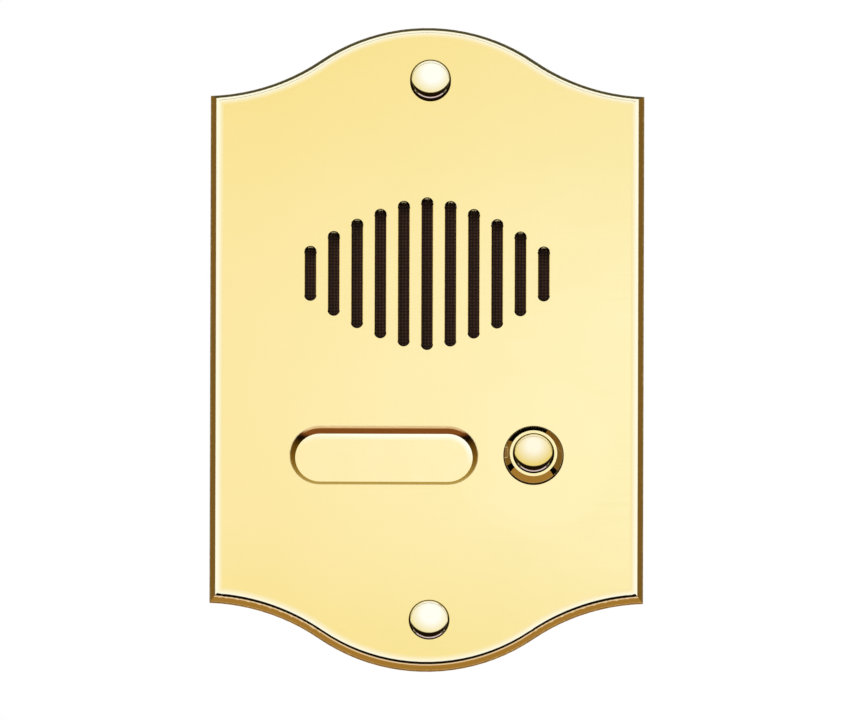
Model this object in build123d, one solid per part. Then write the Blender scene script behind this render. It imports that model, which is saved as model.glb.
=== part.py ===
from build123d import *
from math import atan2, cos, degrees, hypot, radians, sin, sqrt
import os

# Doorbell push panel: a cast brass face plate with a speech grille, a name window and one
# push button, and behind it the contact set, the name plate and the speech unit.
# All sizes are in millimetres. X runs to the right, Z up, and the front faces -Y.
# The wall is the plane y = 0 and the origin is the middle of the plate on that plane.

# Face plate
PLATE_WIDTH = 120.0        # across the straight sides, at the wall
PLATE_HEIGHT = 184.5       # crown to crown, at the wall
SHOULDER_HEIGHT = 145.3    # corner to corner, at the wall
CROWN_RADIUS = 51.5        # round top of the ogee
SHOULDER_RADIUS = 56.0     # hollow that runs out to the corner
EDGE_DEPTH = 3.6           # wall to front face
WEB_THICKNESS = 3.0        # plate inside the rear relief
SIDE_LEAN = 1.68           # how far the side leans in over the depth of the plate
EDGE_ROUNDING = 3.0        # soft front edge all round
RIM_WIDTH = 8.0            # wall face round the rear relief
RELIEF_CORNER = 6.0

# Speech grille
SLOT_COUNT = 11
SLOT_PITCH = 6.46
SLOT_WIDTH = 3.15
SLOT_LONGEST = 43.5        # the middle slot, cut short of the apex
SLOT_SHORTEST = 15.5
GRILLE_APEX = 45.0         # height at which the bowed lines of the slot ends would meet
GRILLE_BOW_RADIUS = 90.0   # arc on which the slot ends lie
GRILLE_Z = 20.9
SLOT_CHAMFER = 0.15
CLOTH_THICKNESS = 0.5

# Row of name window and push button
ROW_Z = -31.1
ROW_GAP = 6.9              # window to bezel
WINDOW_WIDTH = 52.3
WINDOW_HEIGHT = 16.9
WINDOW_CHAMFER = 0.2
WINDOW_LEAN = 1.4          # slope of the window wall below its chamfer
NAME_PLATE_OVERLAP = 3.5
NAME_PLATE_THICKNESS = 1.0
NAME_PLATE_CORNER = 2.0
HOLDER_SHEET = 0.8
HOLDER_TAB = 9.0

# Push button, front part
BEZEL_RADIUS = 8.37
BEZEL_TOP_RADIUS = 6.55
BEZEL_HEIGHT = 2.35
BEZEL_LIP = 0.45
BUTTON_RADIUS = 5.67
BUTTON_WALL = 0.4
BUTTON_TRAVEL = 2.0
DOME_ROLL = 3.4            # rolled rim of the button and of the screw caps
DOME_RIM_LEAN = 58.0       # degrees from facing the front, at the wall
DOME_CROWN_LEAN = 12.0     # degrees where the crown runs into the roll
BUTTON_FIT = 0.1           # radial running fit of button and stem
BARREL_RADIUS = 7.0
BARREL_LENGTH = 9.5        # behind the plate
BARREL_STEP_DEPTH = 5.85   # bezel top to the step that holds the collar
BEZEL_WASHER_THICKNESS = 0.8
BEZEL_NUT_THICKNESS = 3.0
BEZEL_NUT_WALL = 1.5
BEZEL_WASHER_BRIM = 0.8    # washer beyond the flats of the nut

# Push button, contact set
COLLAR_OVERLAP = 0.3       # collar beyond the button, held by the step
COLLAR_THICKNESS = 1.2
STEM_RADIUS = 2.0
STEM_TIP_RADIUS = 1.5
STEM_GROOVE = 0.4
STEM_TIP_LENGTH = 0.7      # behind the groove
SPIGOT_RADIUS = 3.0
SPIGOT_LENGTH = 3.0
SPRING_RADIUS = 4.2
SPRING_WIRE_RADIUS = 0.3
SPRING_TURNS = 6
BLOCK_WALL = 2.9
BLOCK_NUT_GAP = 0.6        # nut to the mouth of the block
BLOCK_FLOOR = 2.0
CHAMBER_RADIUS = 6.5
CHAMBER_DEPTH = 6.5
BRIDGE_RADIUS = 5.6
BRIDGE_THICKNESS = 0.6
CLIP_RADIUS = 2.4
CLIP_THICKNESS = 0.5
CONTACT_COVER = 2.0
COVER_SCREW_RADIUS = 0.9
COVER_SCREW_GRIP = 5.0     # thread in the block
PILOT_EXTRA = 0.5          # pilot hole beyond the screw
CONTACT_SPACING = 8.8
CONTACT_HEAD_RADIUS = 1.8
CONTACT_STUD_RADIUS = 1.25
CONTACT_STUD_LENGTH = 6.5
TERMINAL_WASHER_RADIUS = 2.9
TERMINAL_WASHER_THICKNESS = 0.5
TERMINAL_NUT_THICKNESS = 2.0

# Fixing screws and their caps
FIXING_INSET = 15.0        # crown to screw
FIXING_DROP = 1.0          # the pair sits this much low
FIXING_SHIFT = 0.8         # and this much to the right
SCREW_RADIUS = 2.0         # over the thread
SCREW_NECK_RADIUS = 2.15   # plain part under the head
SCREW_NECK_END = 0.6       # behind the wall face
SCREW_LENGTH = 30.0        # behind the wall face
SCREW_HEAD_RADIUS = 4.2
SCREW_HOLE_FIT = 0.3
SCREW_SLOT_WIDTH = 1.0
SCREW_SLOT_DEPTH = 0.9
SCREW_TIP_CHAMFER = 0.6
CAP_RADIUS = 5.67
CAP_WALL = 0.2
CAP_LIFT = 1.1             # extra skirt under the upper cap
CAP_STUB_RADIUS = 1.2
CAP_STUB_LENGTH = 4.0
CAP_STUB_ROOM = 1.0        # tapped hole beyond the stub

# Studs on the back of the plate
STUD_RADIUS = 1.5
STUD_LENGTH = 7.0
STUD_NUT_AF = 5.5
STUD_NUT_THICKNESS = 2.4

# Speech unit
GRILLE_MARGIN = 4.0        # case inside beyond the grille
CASE_WALL = 2.0
CASE_DEPTH = 18.5          # behind the plate
CASE_CORNER = 4.0
CASE_LUG_RADIUS = 4.5
CASE_LUG_THICKNESS = 3.0
CASE_LUG_INSET = 10.0      # lug from the side of the case
POST_RADIUS = 2.8
POST_TIP_RADIUS = 1.9
POST_INSET = 3.4
BOARD_HEIGHT = 8.0         # case floor to circuit board
BOARD_THICKNESS = 1.6
SPEAKER_CLEARANCE = 0.9    # speaker to the case walls
SPEAKER_GASKET = 1.0
SPEAKER_SHEET = 0.8
SPEAKER_DEPTH = 8.0
SPEAKER_FLANGE = 3.5
MAGNET_RADIUS = 12.5
MAGNET_THICKNESS = 6.0
MAGNET_ROUNDING = 1.0
CONE_THICKNESS = 0.5
LOCATING_RIB = 1.2
MICROPHONE_RADIUS = 3.0
MICROPHONE_LENGTH = 4.8
BOOT_WALL = 1.2
BLOCK_WAYS = 6
BLOCK_PITCH = 5.0
BLOCK_HEIGHT = 10.0
BLOCK_DEPTH = 9.0
BLOCK_CHAMFER = 0.8
TERMINAL_WELL_DEPTH = 4.0
TERMINAL_WELL_RADIUS = 1.8
TERMINAL_SCREW_HEIGHT = 1.6
TERMINAL_SCREW_SLOT = 0.7
WIRE_HOLE_HEIGHT = 3.4
WIRE_HOLE_RISE = 3.2       # board to the middle of the wire hole

# Clearances shared by several pieces
THREAD_GAP = 0.05          # radial, between a plain shank and what it screws into
SEAT_GAP = 0.15            # round a piece that lies in a pocket
HOLE_GAP = 0.2             # radial, round a stud or shank that passes through

# Derived depths, front to back
FRONT = -EDGE_DEPTH
WEB_BACK = FRONT + WEB_THICKNESS
BEZEL_TOP = FRONT - BEZEL_HEIGHT
BARREL_END = WEB_BACK + BARREL_LENGTH
BARREL_STEP = BEZEL_TOP + BARREL_STEP_DEPTH
BEZEL_NUT_FRONT = WEB_BACK + BEZEL_WASHER_THICKNESS
BEZEL_NUT_BACK = BEZEL_NUT_FRONT + BEZEL_NUT_THICKNESS
COLLAR_BACK = BARREL_STEP + COLLAR_THICKNESS
CHAMBER_FRONT = BARREL_END + BLOCK_FLOOR
CHAMBER_BACK = CHAMBER_FRONT + CHAMBER_DEPTH
COVER_BACK = CHAMBER_BACK + CONTACT_COVER
BRIDGE_FRONT = CHAMBER_FRONT + BUTTON_TRAVEL
BRIDGE_BACK = BRIDGE_FRONT + BRIDGE_THICKNESS
CONTACT_FACE = BRIDGE_BACK + BUTTON_TRAVEL + THREAD_GAP
CLOTH_BACK = WEB_BACK + CLOTH_THICKNESS
CASE_FLOOR = CLOTH_BACK + CASE_WALL
CASE_BACK = WEB_BACK + CASE_DEPTH
SPEAKER_FRONT = CASE_FLOOR + SPEAKER_GASKET
SPEAKER_BACK = SPEAKER_FRONT + SPEAKER_DEPTH
MAGNET_BACK = SPEAKER_BACK + MAGNET_THICKNESS
BOARD_FRONT = CASE_FLOOR + BOARD_HEIGHT
BOARD_BACK = BOARD_FRONT + BOARD_THICKNESS

# Derived places on the face
ROW_WIDTH = WINDOW_WIDTH + ROW_GAP + 2 * BEZEL_RADIUS
WINDOW_X = (WINDOW_WIDTH - ROW_WIDTH) / 2
BUTTON_X = ROW_WIDTH / 2 - BEZEL_RADIUS
FIXING_REACH = PLATE_HEIGHT / 2 - FIXING_INSET
FIXING_PLACES = [(FIXING_SHIFT, i * FIXING_REACH - FIXING_DROP) for i in (1, -1)]

# Derived sizes of the button
BEZEL_BORE = BUTTON_RADIUS + BUTTON_FIT
COLLAR_RADIUS = BUTTON_RADIUS + COLLAR_OVERLAP
BARREL_BORE = COLLAR_RADIUS + BUTTON_FIT
BLOCK_RADIUS = BARREL_RADIUS + THREAD_GAP + BLOCK_WALL
COVER_SCREW_REACH = (CHAMBER_RADIUS + BLOCK_RADIUS) / 2

# Derived sizes of the name plate and its holder
WINDOW_DROP = 2 * (WINDOW_CHAMFER + WINDOW_LEAN)
NAME_PLATE_WIDTH = WINDOW_WIDTH - WINDOW_DROP + 2 * NAME_PLATE_OVERLAP
NAME_PLATE_HEIGHT = WINDOW_HEIGHT - WINDOW_DROP + 2 * NAME_PLATE_OVERLAP
HOLDER_WIDTH = NAME_PLATE_WIDTH + 2 * (SEAT_GAP + HOLDER_SHEET)
HOLDER_HEIGHT = NAME_PLATE_HEIGHT + 2 * (SEAT_GAP + HOLDER_SHEET)
HOLDER_STUD_Z = HOLDER_HEIGHT / 2 + HOLDER_TAB / 2

# Derived sizes of the speech unit
GRILLE_WIDTH = (SLOT_COUNT - 1) * SLOT_PITCH + SLOT_WIDTH
CASE_INSIDE_WIDTH = GRILLE_WIDTH + 2 * GRILLE_MARGIN
CASE_INSIDE_HEIGHT = SLOT_LONGEST + 2 * GRILLE_MARGIN
CASE_WIDTH = CASE_INSIDE_WIDTH + 2 * CASE_WALL
CASE_HEIGHT = CASE_INSIDE_HEIGHT + 2 * CASE_WALL
SPEAKER_RADIUS = CASE_INSIDE_HEIGHT / 2 - SPEAKER_CLEARANCE
SPEAKER_X = CASE_INSIDE_WIDTH / 2 - SPEAKER_CLEARANCE - SPEAKER_RADIUS
BOOT_RADIUS = MICROPHONE_RADIUS + BOOT_WALL
MICROPHONE_X = LOCATING_RIB + SEAT_GAP + BOOT_RADIUS - CASE_INSIDE_WIDTH / 2
TERMINAL_BLOCK_WIDTH = BLOCK_WAYS * BLOCK_PITCH
TERMINAL_BLOCK_Z = GRILLE_Z - CASE_HEIGHT / 2 + CASE_WALL / 2 + BLOCK_DEPTH / 2
POST_X = CASE_INSIDE_WIDTH / 2 - POST_INSET
POST_Z = CASE_INSIDE_HEIGHT / 2 - POST_INSET
POST_PLACES = [(i * POST_X, GRILLE_Z + j * POST_Z) for i in (-1, 1) for j in (-1, 1)]
LUG_X = CASE_WIDTH / 2 - CASE_LUG_INSET
LUG_Z = CASE_HEIGHT / 2 + CASE_LUG_RADIUS
UNIT_STUDS = [(-LUG_X, GRILLE_Z + LUG_Z), (LUG_X, GRILLE_Z - LUG_Z)]
HOLDER_STUDS = [(WINDOW_X, ROW_Z + HOLDER_STUD_Z), (WINDOW_X, ROW_Z - HOLDER_STUD_Z)]


def facing(depth):
    """Sketch plane that looks to the front, with X to the right and Z up."""
    return Plane.XZ.offset(-depth)


def slab(sketch, front, back):
    """A front-view sketch given thickness between two depths."""
    return extrude(facing(back) * sketch, amount=back - front)


def rod(radius, front, back, x=0.0, z=0.0):
    return slab(Pos(x, z) * Circle(radius), front, back)


def ring(outer, inner, front, back, x=0.0, z=0.0):
    return rod(outer, front, back, x, z) - rod(inner, front, back, x, z)


def turned(points, x=0.0, z=0.0):
    """A piece turned on a lathe, from the (radius, depth) corners of its half section."""
    section = make_face(Polyline(*points, close=True))
    return Pos(x, 0, z) * revolve(section, Axis.Y)


def arc_point(middle, radius, lean):
    """The point of an arc whose surface leans this far from facing the front."""
    return (middle[0] + radius * sin(lean), middle[1] - radius * cos(lean))


def dome(radius, foot, wall, x=0.0, z=0.0):
    """A domed head: a flat foot, a short straight wall, a rolled rim and a shallow crown."""
    rim = (radius, foot - wall)
    rim_lean = radians(DOME_RIM_LEAN)
    crown_lean = radians(DOME_CROWN_LEAN)
    roll_middle = arc_point(rim, -DOME_ROLL, rim_lean)
    shoulder = arc_point(roll_middle, DOME_ROLL, crown_lean)
    crown = shoulder[0] / sin(crown_lean)
    crown_middle = arc_point(shoulder, -crown, crown_lean)
    apex = arc_point(crown_middle, crown, 0)
    side = Polyline(apex, (0, foot), (radius, foot), rim)
    roll = ThreePointArc(rim, arc_point(roll_middle, DOME_ROLL, (rim_lean + crown_lean) / 2), shoulder)
    top = ThreePointArc(shoulder, arc_point(crown_middle, crown, crown_lean / 2), apex)
    section = make_face([*side.edges(), roll, top])
    return Pos(x, 0, z) * revolve(section, Axis.Y)


def hex_nut(across_flats, hole, front, back, x, z):
    flats = RegularPolygon(across_flats / 2, 6, major_radius=False, rotation=30)
    return slab(Pos(x, z) * flats, front, back) - rod(hole, front, back, x, z)


def group(solids):
    """Separate solids of one kind, kept together as one piece."""
    return Compound(children=[s.solid() for s in solids])


def end_outline(inset):
    """The plate seen from the front with its ogee ends only, moved in by an inset.

    Each end is a round crown that runs over into two hollow shoulders without a kink. The
    shoulders run on past the sides, so that the sides can be cut straight through them.
    """
    side = PLATE_WIDTH / 2
    crown_z = PLATE_HEIGHT / 2 - CROWN_RADIUS
    reach = CROWN_RADIUS + SHOULDER_RADIUS
    gap = hypot(side, SHOULDER_HEIGHT / 2 - crown_z)
    turn = atan2(SHOULDER_HEIGHT / 2 - crown_z, side)
    along = (reach**2 - SHOULDER_RADIUS**2 + gap**2) / (2 * gap)
    off = sqrt(reach**2 - along**2)
    hollow_x = along * cos(turn) - off * sin(turn)
    hollow_z = crown_z + along * sin(turn) + off * cos(turn)

    lean = degrees(atan2(hollow_z - crown_z, hollow_x))
    crown = CenterArc((0, crown_z), CROWN_RADIUS - inset, lean, 180 - 2 * lean)
    hollow_radius = SHOULDER_RADIUS + inset
    far_x = side + RIM_WIDTH
    far_z = hollow_z - sqrt(hollow_radius**2 - (hollow_x - far_x) ** 2)
    to_far = degrees(atan2(far_z - hollow_z, far_x - hollow_x))
    shoulder = CenterArc((hollow_x, hollow_z), hollow_radius, lean - 180, to_far - lean + 180)
    half_top = [crown, shoulder, mirror(shoulder, Plane.YZ)]
    half_bottom = [mirror(edge, Plane.XZ) for edge in half_top]
    right = Line((far_x, -far_z), (far_x, far_z))
    left = Line((-far_x, -far_z), (-far_x, far_z))
    return make_face([*half_top, *half_bottom, left, right])


def side_outline(inset):
    """The plate seen from the front with its straight sides only, moved in by an inset."""
    return Rectangle(PLATE_WIDTH - 2 * inset, PLATE_HEIGHT + 2 * RIM_WIDTH)


def leaning(outline):
    """An outline carried from the wall to the front, leaning in on the way."""
    return loft([facing(0) * outline(0), facing(FRONT) * outline(SIDE_LEAN)], ruled=True)


def plate_blank():
    """Ogee ends and straight sides, each with its soft front edge, crossed to a mitre."""
    ends = leaning(end_outline)
    brow = [edge for edge in ends.faces().sort_by(Axis.Y)[0].edges() if edge.geom_type == GeomType.CIRCLE]
    sides = leaning(side_outline)
    rails = sides.faces().sort_by(Axis.Y)[0].edges().filter_by(Axis.Z)
    return fillet(brow, EDGE_ROUNDING) & fillet(rails, EDGE_ROUNDING)


def slot_length(x):
    """Length of the slot at x. The slot ends lie on a bowed line from the apex to the shortest."""
    far = (SLOT_COUNT - 1) / 2 * SLOT_PITCH
    fall = (GRILLE_APEX - SLOT_SHORTEST) / 2
    chord = hypot(far, fall)
    deep = sqrt(GRILLE_BOW_RADIUS**2 - chord**2 / 4)
    centre_x = far / 2 - deep * fall / chord
    centre_z = GRILLE_APEX / 2 - fall / 2 - deep * far / chord
    bowed = 2 * (centre_z + sqrt(GRILLE_BOW_RADIUS**2 - (abs(x) - centre_x) ** 2))
    return min(bowed, SLOT_LONGEST)


def grille_slots():
    slots = Sketch()
    for i in range(SLOT_COUNT):
        x = (i - (SLOT_COUNT - 1) / 2) * SLOT_PITCH
        slots += Pos(x, GRILLE_Z) * SlotOverall(slot_length(x), SLOT_WIDTH, rotation=90)
    return slots


def window_opening(inset):
    return Pos(WINDOW_X, ROW_Z) * SlotOverall(WINDOW_WIDTH - 2 * inset, WINDOW_HEIGHT - 2 * inset)


def face_plate():
    """Cast plate with leaning sides, a soft front edge and a relief behind."""
    plate = plate_blank()
    plate -= slab(grille_slots(), FRONT, 0)
    slot_edges = [wire.edges() for wire in plate.faces().sort_by(Axis.Y)[0].inner_wires()]
    plate = chamfer([edge for edges in slot_edges for edge in edges], SLOT_CHAMFER)

    relief_width = PLATE_WIDTH - 2 * RIM_WIDTH
    relief_height = SHOULDER_HEIGHT - 2 * RIM_WIDTH
    plate -= slab(RectangleRounded(relief_width, relief_height, RELIEF_CORNER), WEB_BACK, 0)

    chamfer_foot = FRONT + WINDOW_CHAMFER
    steps = [(FRONT, 0), (chamfer_foot, WINDOW_CHAMFER), (WEB_BACK, WINDOW_DROP / 2)]
    plate -= loft([facing(depth) * window_opening(inset) for depth, inset in steps], ruled=True)

    plate -= rod(BARREL_RADIUS + HOLE_GAP, FRONT, WEB_BACK, BUTTON_X, ROW_Z)
    for x, z in FIXING_PLACES:
        plate -= countersink(SCREW_HOLE_FIT, 0, x, z)
    return plate


def countersink(gap, back, x, z):
    """Cone and plain neck of a fixing screw, with a gap all round."""
    neck = SCREW_NECK_RADIUS + gap
    head = SCREW_HEAD_RADIUS + gap
    cone = FRONT + head - neck
    return turned([(0, FRONT), (head, FRONT), (neck, cone), (neck, back), (0, back)], x, z)


def fixing_screws():
    """Countersunk screws with a slot, tapped in the head for the caps."""
    screws = []
    for x, z in FIXING_PLACES:
        screw = countersink(0, SCREW_NECK_END, x, z)
        screw += rod(SCREW_RADIUS, SCREW_NECK_END, SCREW_LENGTH, x, z)
        room = CAP_STUB_LENGTH + CAP_STUB_ROOM
        screw -= rod(CAP_STUB_RADIUS + THREAD_GAP, FRONT, FRONT + room, x, z)
        slot = Pos(x, z) * Rectangle(2 * SCREW_HEAD_RADIUS, SCREW_SLOT_WIDTH)
        screw -= slab(slot, FRONT, FRONT + SCREW_SLOT_DEPTH)
        tip = screw.edges().sort_by(Axis.Y)[-1]
        screws.append(chamfer(tip, SCREW_TIP_CHAMFER))
    return group(screws)


def screw_caps():
    """Domed caps screwed into the fixing screws. The upper one has the taller skirt."""
    caps = []
    for (x, z), lift in zip(FIXING_PLACES, (CAP_LIFT, 0)):
        head = dome(CAP_RADIUS, FRONT, CAP_WALL + lift, x, z)
        caps.append(head + rod(CAP_STUB_RADIUS, FRONT, FRONT + CAP_STUB_LENGTH, x, z))
    return group(caps)


def name_plate():
    shape = RectangleRounded(NAME_PLATE_WIDTH, NAME_PLATE_HEIGHT, NAME_PLATE_CORNER)
    return slab(Pos(WINDOW_X, ROW_Z) * shape, WEB_BACK, WEB_BACK + NAME_PLATE_THICKNESS)


def name_plate_holder():
    """Pressed tray round the name plate, with a drilled tab above and below."""
    bottom = WEB_BACK + NAME_PLATE_THICKNESS
    corner = NAME_PLATE_CORNER + SEAT_GAP
    tray = Pos(WINDOW_X, ROW_Z) * RectangleRounded(HOLDER_WIDTH, HOLDER_HEIGHT, corner + HOLDER_SHEET)
    inside = Pos(WINDOW_X, ROW_Z) * RectangleRounded(
        NAME_PLATE_WIDTH + 2 * SEAT_GAP, NAME_PLATE_HEIGHT + 2 * SEAT_GAP, corner
    )
    tabs = Pos(WINDOW_X, ROW_Z) * SlotCenterToCenter(2 * HOLDER_STUD_Z, HOLDER_TAB, rotation=90)
    holder = slab(tabs, WEB_BACK, WEB_BACK + HOLDER_SHEET) + slab(tray, WEB_BACK, bottom + HOLDER_SHEET)
    holder -= slab(inside, WEB_BACK, bottom)
    for x, z in HOLDER_STUDS:
        holder -= rod(STUD_RADIUS + HOLE_GAP, WEB_BACK, bottom, x, z)
    return holder


def plate_studs():
    return group(
        rod(STUD_RADIUS, WEB_BACK, WEB_BACK + STUD_LENGTH, x, z) for x, z in UNIT_STUDS + HOLDER_STUDS
    )


def stud_nuts():
    """Nuts on the studs: two on the lugs of the speech unit and two on the tabs of the holder."""
    nuts = []
    for places, seat in ((UNIT_STUDS, CASE_LUG_THICKNESS), (HOLDER_STUDS, HOLDER_SHEET)):
        front = WEB_BACK + seat
        for x, z in places:
            hole = STUD_RADIUS + THREAD_GAP
            nuts.append(hex_nut(STUD_NUT_AF, hole, front, front + STUD_NUT_THICKNESS, x, z))
    return group(nuts)


def button_bezel():
    """Conical ring with a threaded barrel. A step inside keeps the collar of the stem."""
    return turned(
        [
            (BEZEL_BORE, BEZEL_TOP),
            (BEZEL_TOP_RADIUS, BEZEL_TOP),
            (BEZEL_RADIUS, FRONT - BEZEL_LIP),
            (BEZEL_RADIUS, FRONT),
            (BARREL_RADIUS, FRONT),
            (BARREL_RADIUS, BARREL_END),
            (BARREL_BORE, BARREL_END),
            (BARREL_BORE, BARREL_STEP),
            (BEZEL_BORE, BARREL_STEP),
        ],
        BUTTON_X,
        ROW_Z,
    )


def bezel_washer():
    outer = BARREL_RADIUS + BEZEL_NUT_WALL + BEZEL_WASHER_BRIM
    return ring(outer, BARREL_RADIUS + HOLE_GAP, WEB_BACK, BEZEL_NUT_FRONT, BUTTON_X, ROW_Z)


def bezel_nut():
    flats = 2 * (BARREL_RADIUS + BEZEL_NUT_WALL)
    hole = BARREL_RADIUS + THREAD_GAP
    return hex_nut(flats, hole, BEZEL_NUT_FRONT, BEZEL_NUT_BACK, BUTTON_X, ROW_Z)


def push_button():
    """Domed cap, bored from behind for the spigot of the stem."""
    foot = BARREL_STEP
    wall = foot - BEZEL_TOP + BUTTON_WALL
    cap = dome(BUTTON_RADIUS, foot, wall, BUTTON_X, ROW_Z)
    return cap - rod(SPIGOT_RADIUS + THREAD_GAP, foot - SPIGOT_LENGTH, foot, BUTTON_X, ROW_Z)


def button_stem():
    """Insulating stem: spigot in the button, collar behind the step, rod and grooved tip."""
    groove = BRIDGE_BACK + CLIP_THICKNESS
    tip = groove + STEM_TIP_LENGTH
    neck = STEM_TIP_RADIUS - STEM_GROOVE
    return turned(
        [
            (0, BARREL_STEP - SPIGOT_LENGTH),
            (SPIGOT_RADIUS, BARREL_STEP - SPIGOT_LENGTH),
            (SPIGOT_RADIUS, BARREL_STEP),
            (COLLAR_RADIUS, BARREL_STEP),
            (COLLAR_RADIUS, COLLAR_BACK),
            (STEM_RADIUS, COLLAR_BACK),
            (STEM_RADIUS, BRIDGE_FRONT),
            (STEM_TIP_RADIUS, BRIDGE_FRONT),
            (STEM_TIP_RADIUS, BRIDGE_BACK),
            (neck, BRIDGE_BACK),
            (neck, groove),
            (STEM_TIP_RADIUS, groove),
            (STEM_TIP_RADIUS, tip),
            (0, tip),
        ],
        BUTTON_X,
        ROW_Z,
    )


def return_spring():
    """Round-wire coil between the collar and the floor of the contact block."""
    start = COLLAR_BACK + SPRING_WIRE_RADIUS
    length = BARREL_END - SPRING_WIRE_RADIUS - start
    path = Helix(length / SPRING_TURNS, length, SPRING_RADIUS)
    wire = Plane(origin=path @ 0, z_dir=path % 0) * Circle(SPRING_WIRE_RADIUS)
    coil = sweep(wire, path=path)
    return Pos(BUTTON_X, start, ROW_Z) * Rot(-90, 0, 0) * coil


def contact_bridge():
    return ring(BRIDGE_RADIUS, STEM_TIP_RADIUS + THREAD_GAP, BRIDGE_FRONT, BRIDGE_BACK, BUTTON_X, ROW_Z)


def bridge_clip():
    """Open clip in the groove of the stem."""
    front = BRIDGE_BACK
    back = front + CLIP_THICKNESS - THREAD_GAP
    inner = STEM_TIP_RADIUS - STEM_GROOVE + THREAD_GAP
    clip = ring(CLIP_RADIUS, inner, front, back, BUTTON_X, ROW_Z)
    mouth = Pos(BUTTON_X, ROW_Z - CLIP_RADIUS) * Rectangle(1.6 * inner, 2 * CLIP_RADIUS)
    return clip - slab(mouth, front, back)


def contact_places():
    return [(BUTTON_X + i * CONTACT_SPACING / 2, ROW_Z) for i in (-1, 1)]


def cover_screw_places():
    return [(BUTTON_X, ROW_Z + i * COVER_SCREW_REACH) for i in (-1, 1)]


def contact_block():
    """Insulating housing that screws on to the end of the barrel."""
    front = BEZEL_NUT_BACK + BLOCK_NUT_GAP
    pilot = CHAMBER_BACK - COVER_SCREW_GRIP - PILOT_EXTRA
    block = rod(BLOCK_RADIUS, front, CHAMBER_BACK, BUTTON_X, ROW_Z)
    block -= rod(BARREL_RADIUS + THREAD_GAP, front, BARREL_END, BUTTON_X, ROW_Z)
    block -= rod(STEM_RADIUS + BUTTON_FIT, BARREL_END, CHAMBER_FRONT, BUTTON_X, ROW_Z)
    block -= rod(CHAMBER_RADIUS, CHAMBER_FRONT, CHAMBER_BACK, BUTTON_X, ROW_Z)
    for x, z in cover_screw_places():
        block -= rod(COVER_SCREW_RADIUS + THREAD_GAP, pilot, CHAMBER_BACK, x, z)
    return block


def contact_cover():
    cover = rod(BLOCK_RADIUS, CHAMBER_BACK, COVER_BACK, BUTTON_X, ROW_Z)
    for x, z in cover_screw_places():
        cover -= rod(COVER_SCREW_RADIUS + THREAD_GAP, CHAMBER_BACK, COVER_BACK, x, z)
    for x, z in contact_places():
        cover -= rod(CONTACT_STUD_RADIUS + THREAD_GAP, CHAMBER_BACK, COVER_BACK, x, z)
    return cover


def pan_screw(shank, seat, length, x, z):
    """Small slotted screw with its head behind the seat and its shank ahead of it."""
    head = shank * 1.9
    top = seat + shank * 1.3
    screw = rod(head, seat, top, x, z) + rod(shank, seat - length, seat, x, z)
    screw = fillet(screw.edges().sort_by(Axis.Y)[-1], shank * 0.6)
    return screw - slab(Pos(x, z) * Rectangle(2 * head, shank * 0.5), top - shank * 0.7, top)


def contact_cover_screws():
    length = CONTACT_COVER + COVER_SCREW_GRIP
    return group(pan_screw(COVER_SCREW_RADIUS, COVER_BACK, length, x, z) for x, z in cover_screw_places())


def contact_studs():
    """The two fixed contacts: a flat head in the chamber and a threaded tail behind the cover."""
    studs = []
    for x, z in contact_places():
        head = rod(CONTACT_HEAD_RADIUS, CONTACT_FACE, CHAMBER_BACK, x, z)
        studs.append(head + rod(CONTACT_STUD_RADIUS, CHAMBER_BACK, COVER_BACK + CONTACT_STUD_LENGTH, x, z))
    return group(studs)


def terminal_washers():
    back = COVER_BACK + TERMINAL_WASHER_THICKNESS
    hole = CONTACT_STUD_RADIUS + THREAD_GAP
    return group(ring(TERMINAL_WASHER_RADIUS, hole, COVER_BACK, back, x, z) for x, z in contact_places())


def terminal_nuts():
    front = COVER_BACK + TERMINAL_WASHER_THICKNESS
    flats = 4 * CONTACT_STUD_RADIUS
    hole = CONTACT_STUD_RADIUS + THREAD_GAP
    back = front + TERMINAL_NUT_THICKNESS
    return group(hex_nut(flats, hole, front, back, x, z) for x, z in contact_places())


def case_shape(width, height, corner):
    return Pos(0, GRILLE_Z) * RectangleRounded(width, height, corner)


def grille_cloth():
    width = CASE_INSIDE_WIDTH - 2 * SEAT_GAP
    height = CASE_INSIDE_HEIGHT - 2 * SEAT_GAP
    return slab(case_shape(width, height, CASE_CORNER / 2), WEB_BACK, CLOTH_BACK)


def terminal_notch(gap):
    """Front view of the room taken by the terminal block, open to the bottom."""
    height = BLOCK_DEPTH + CASE_WALL
    z = TERMINAL_BLOCK_Z - CASE_WALL / 2
    return Pos(0, z) * Rectangle(TERMINAL_BLOCK_WIDTH + 2 * gap, height + 2 * gap)


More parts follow.
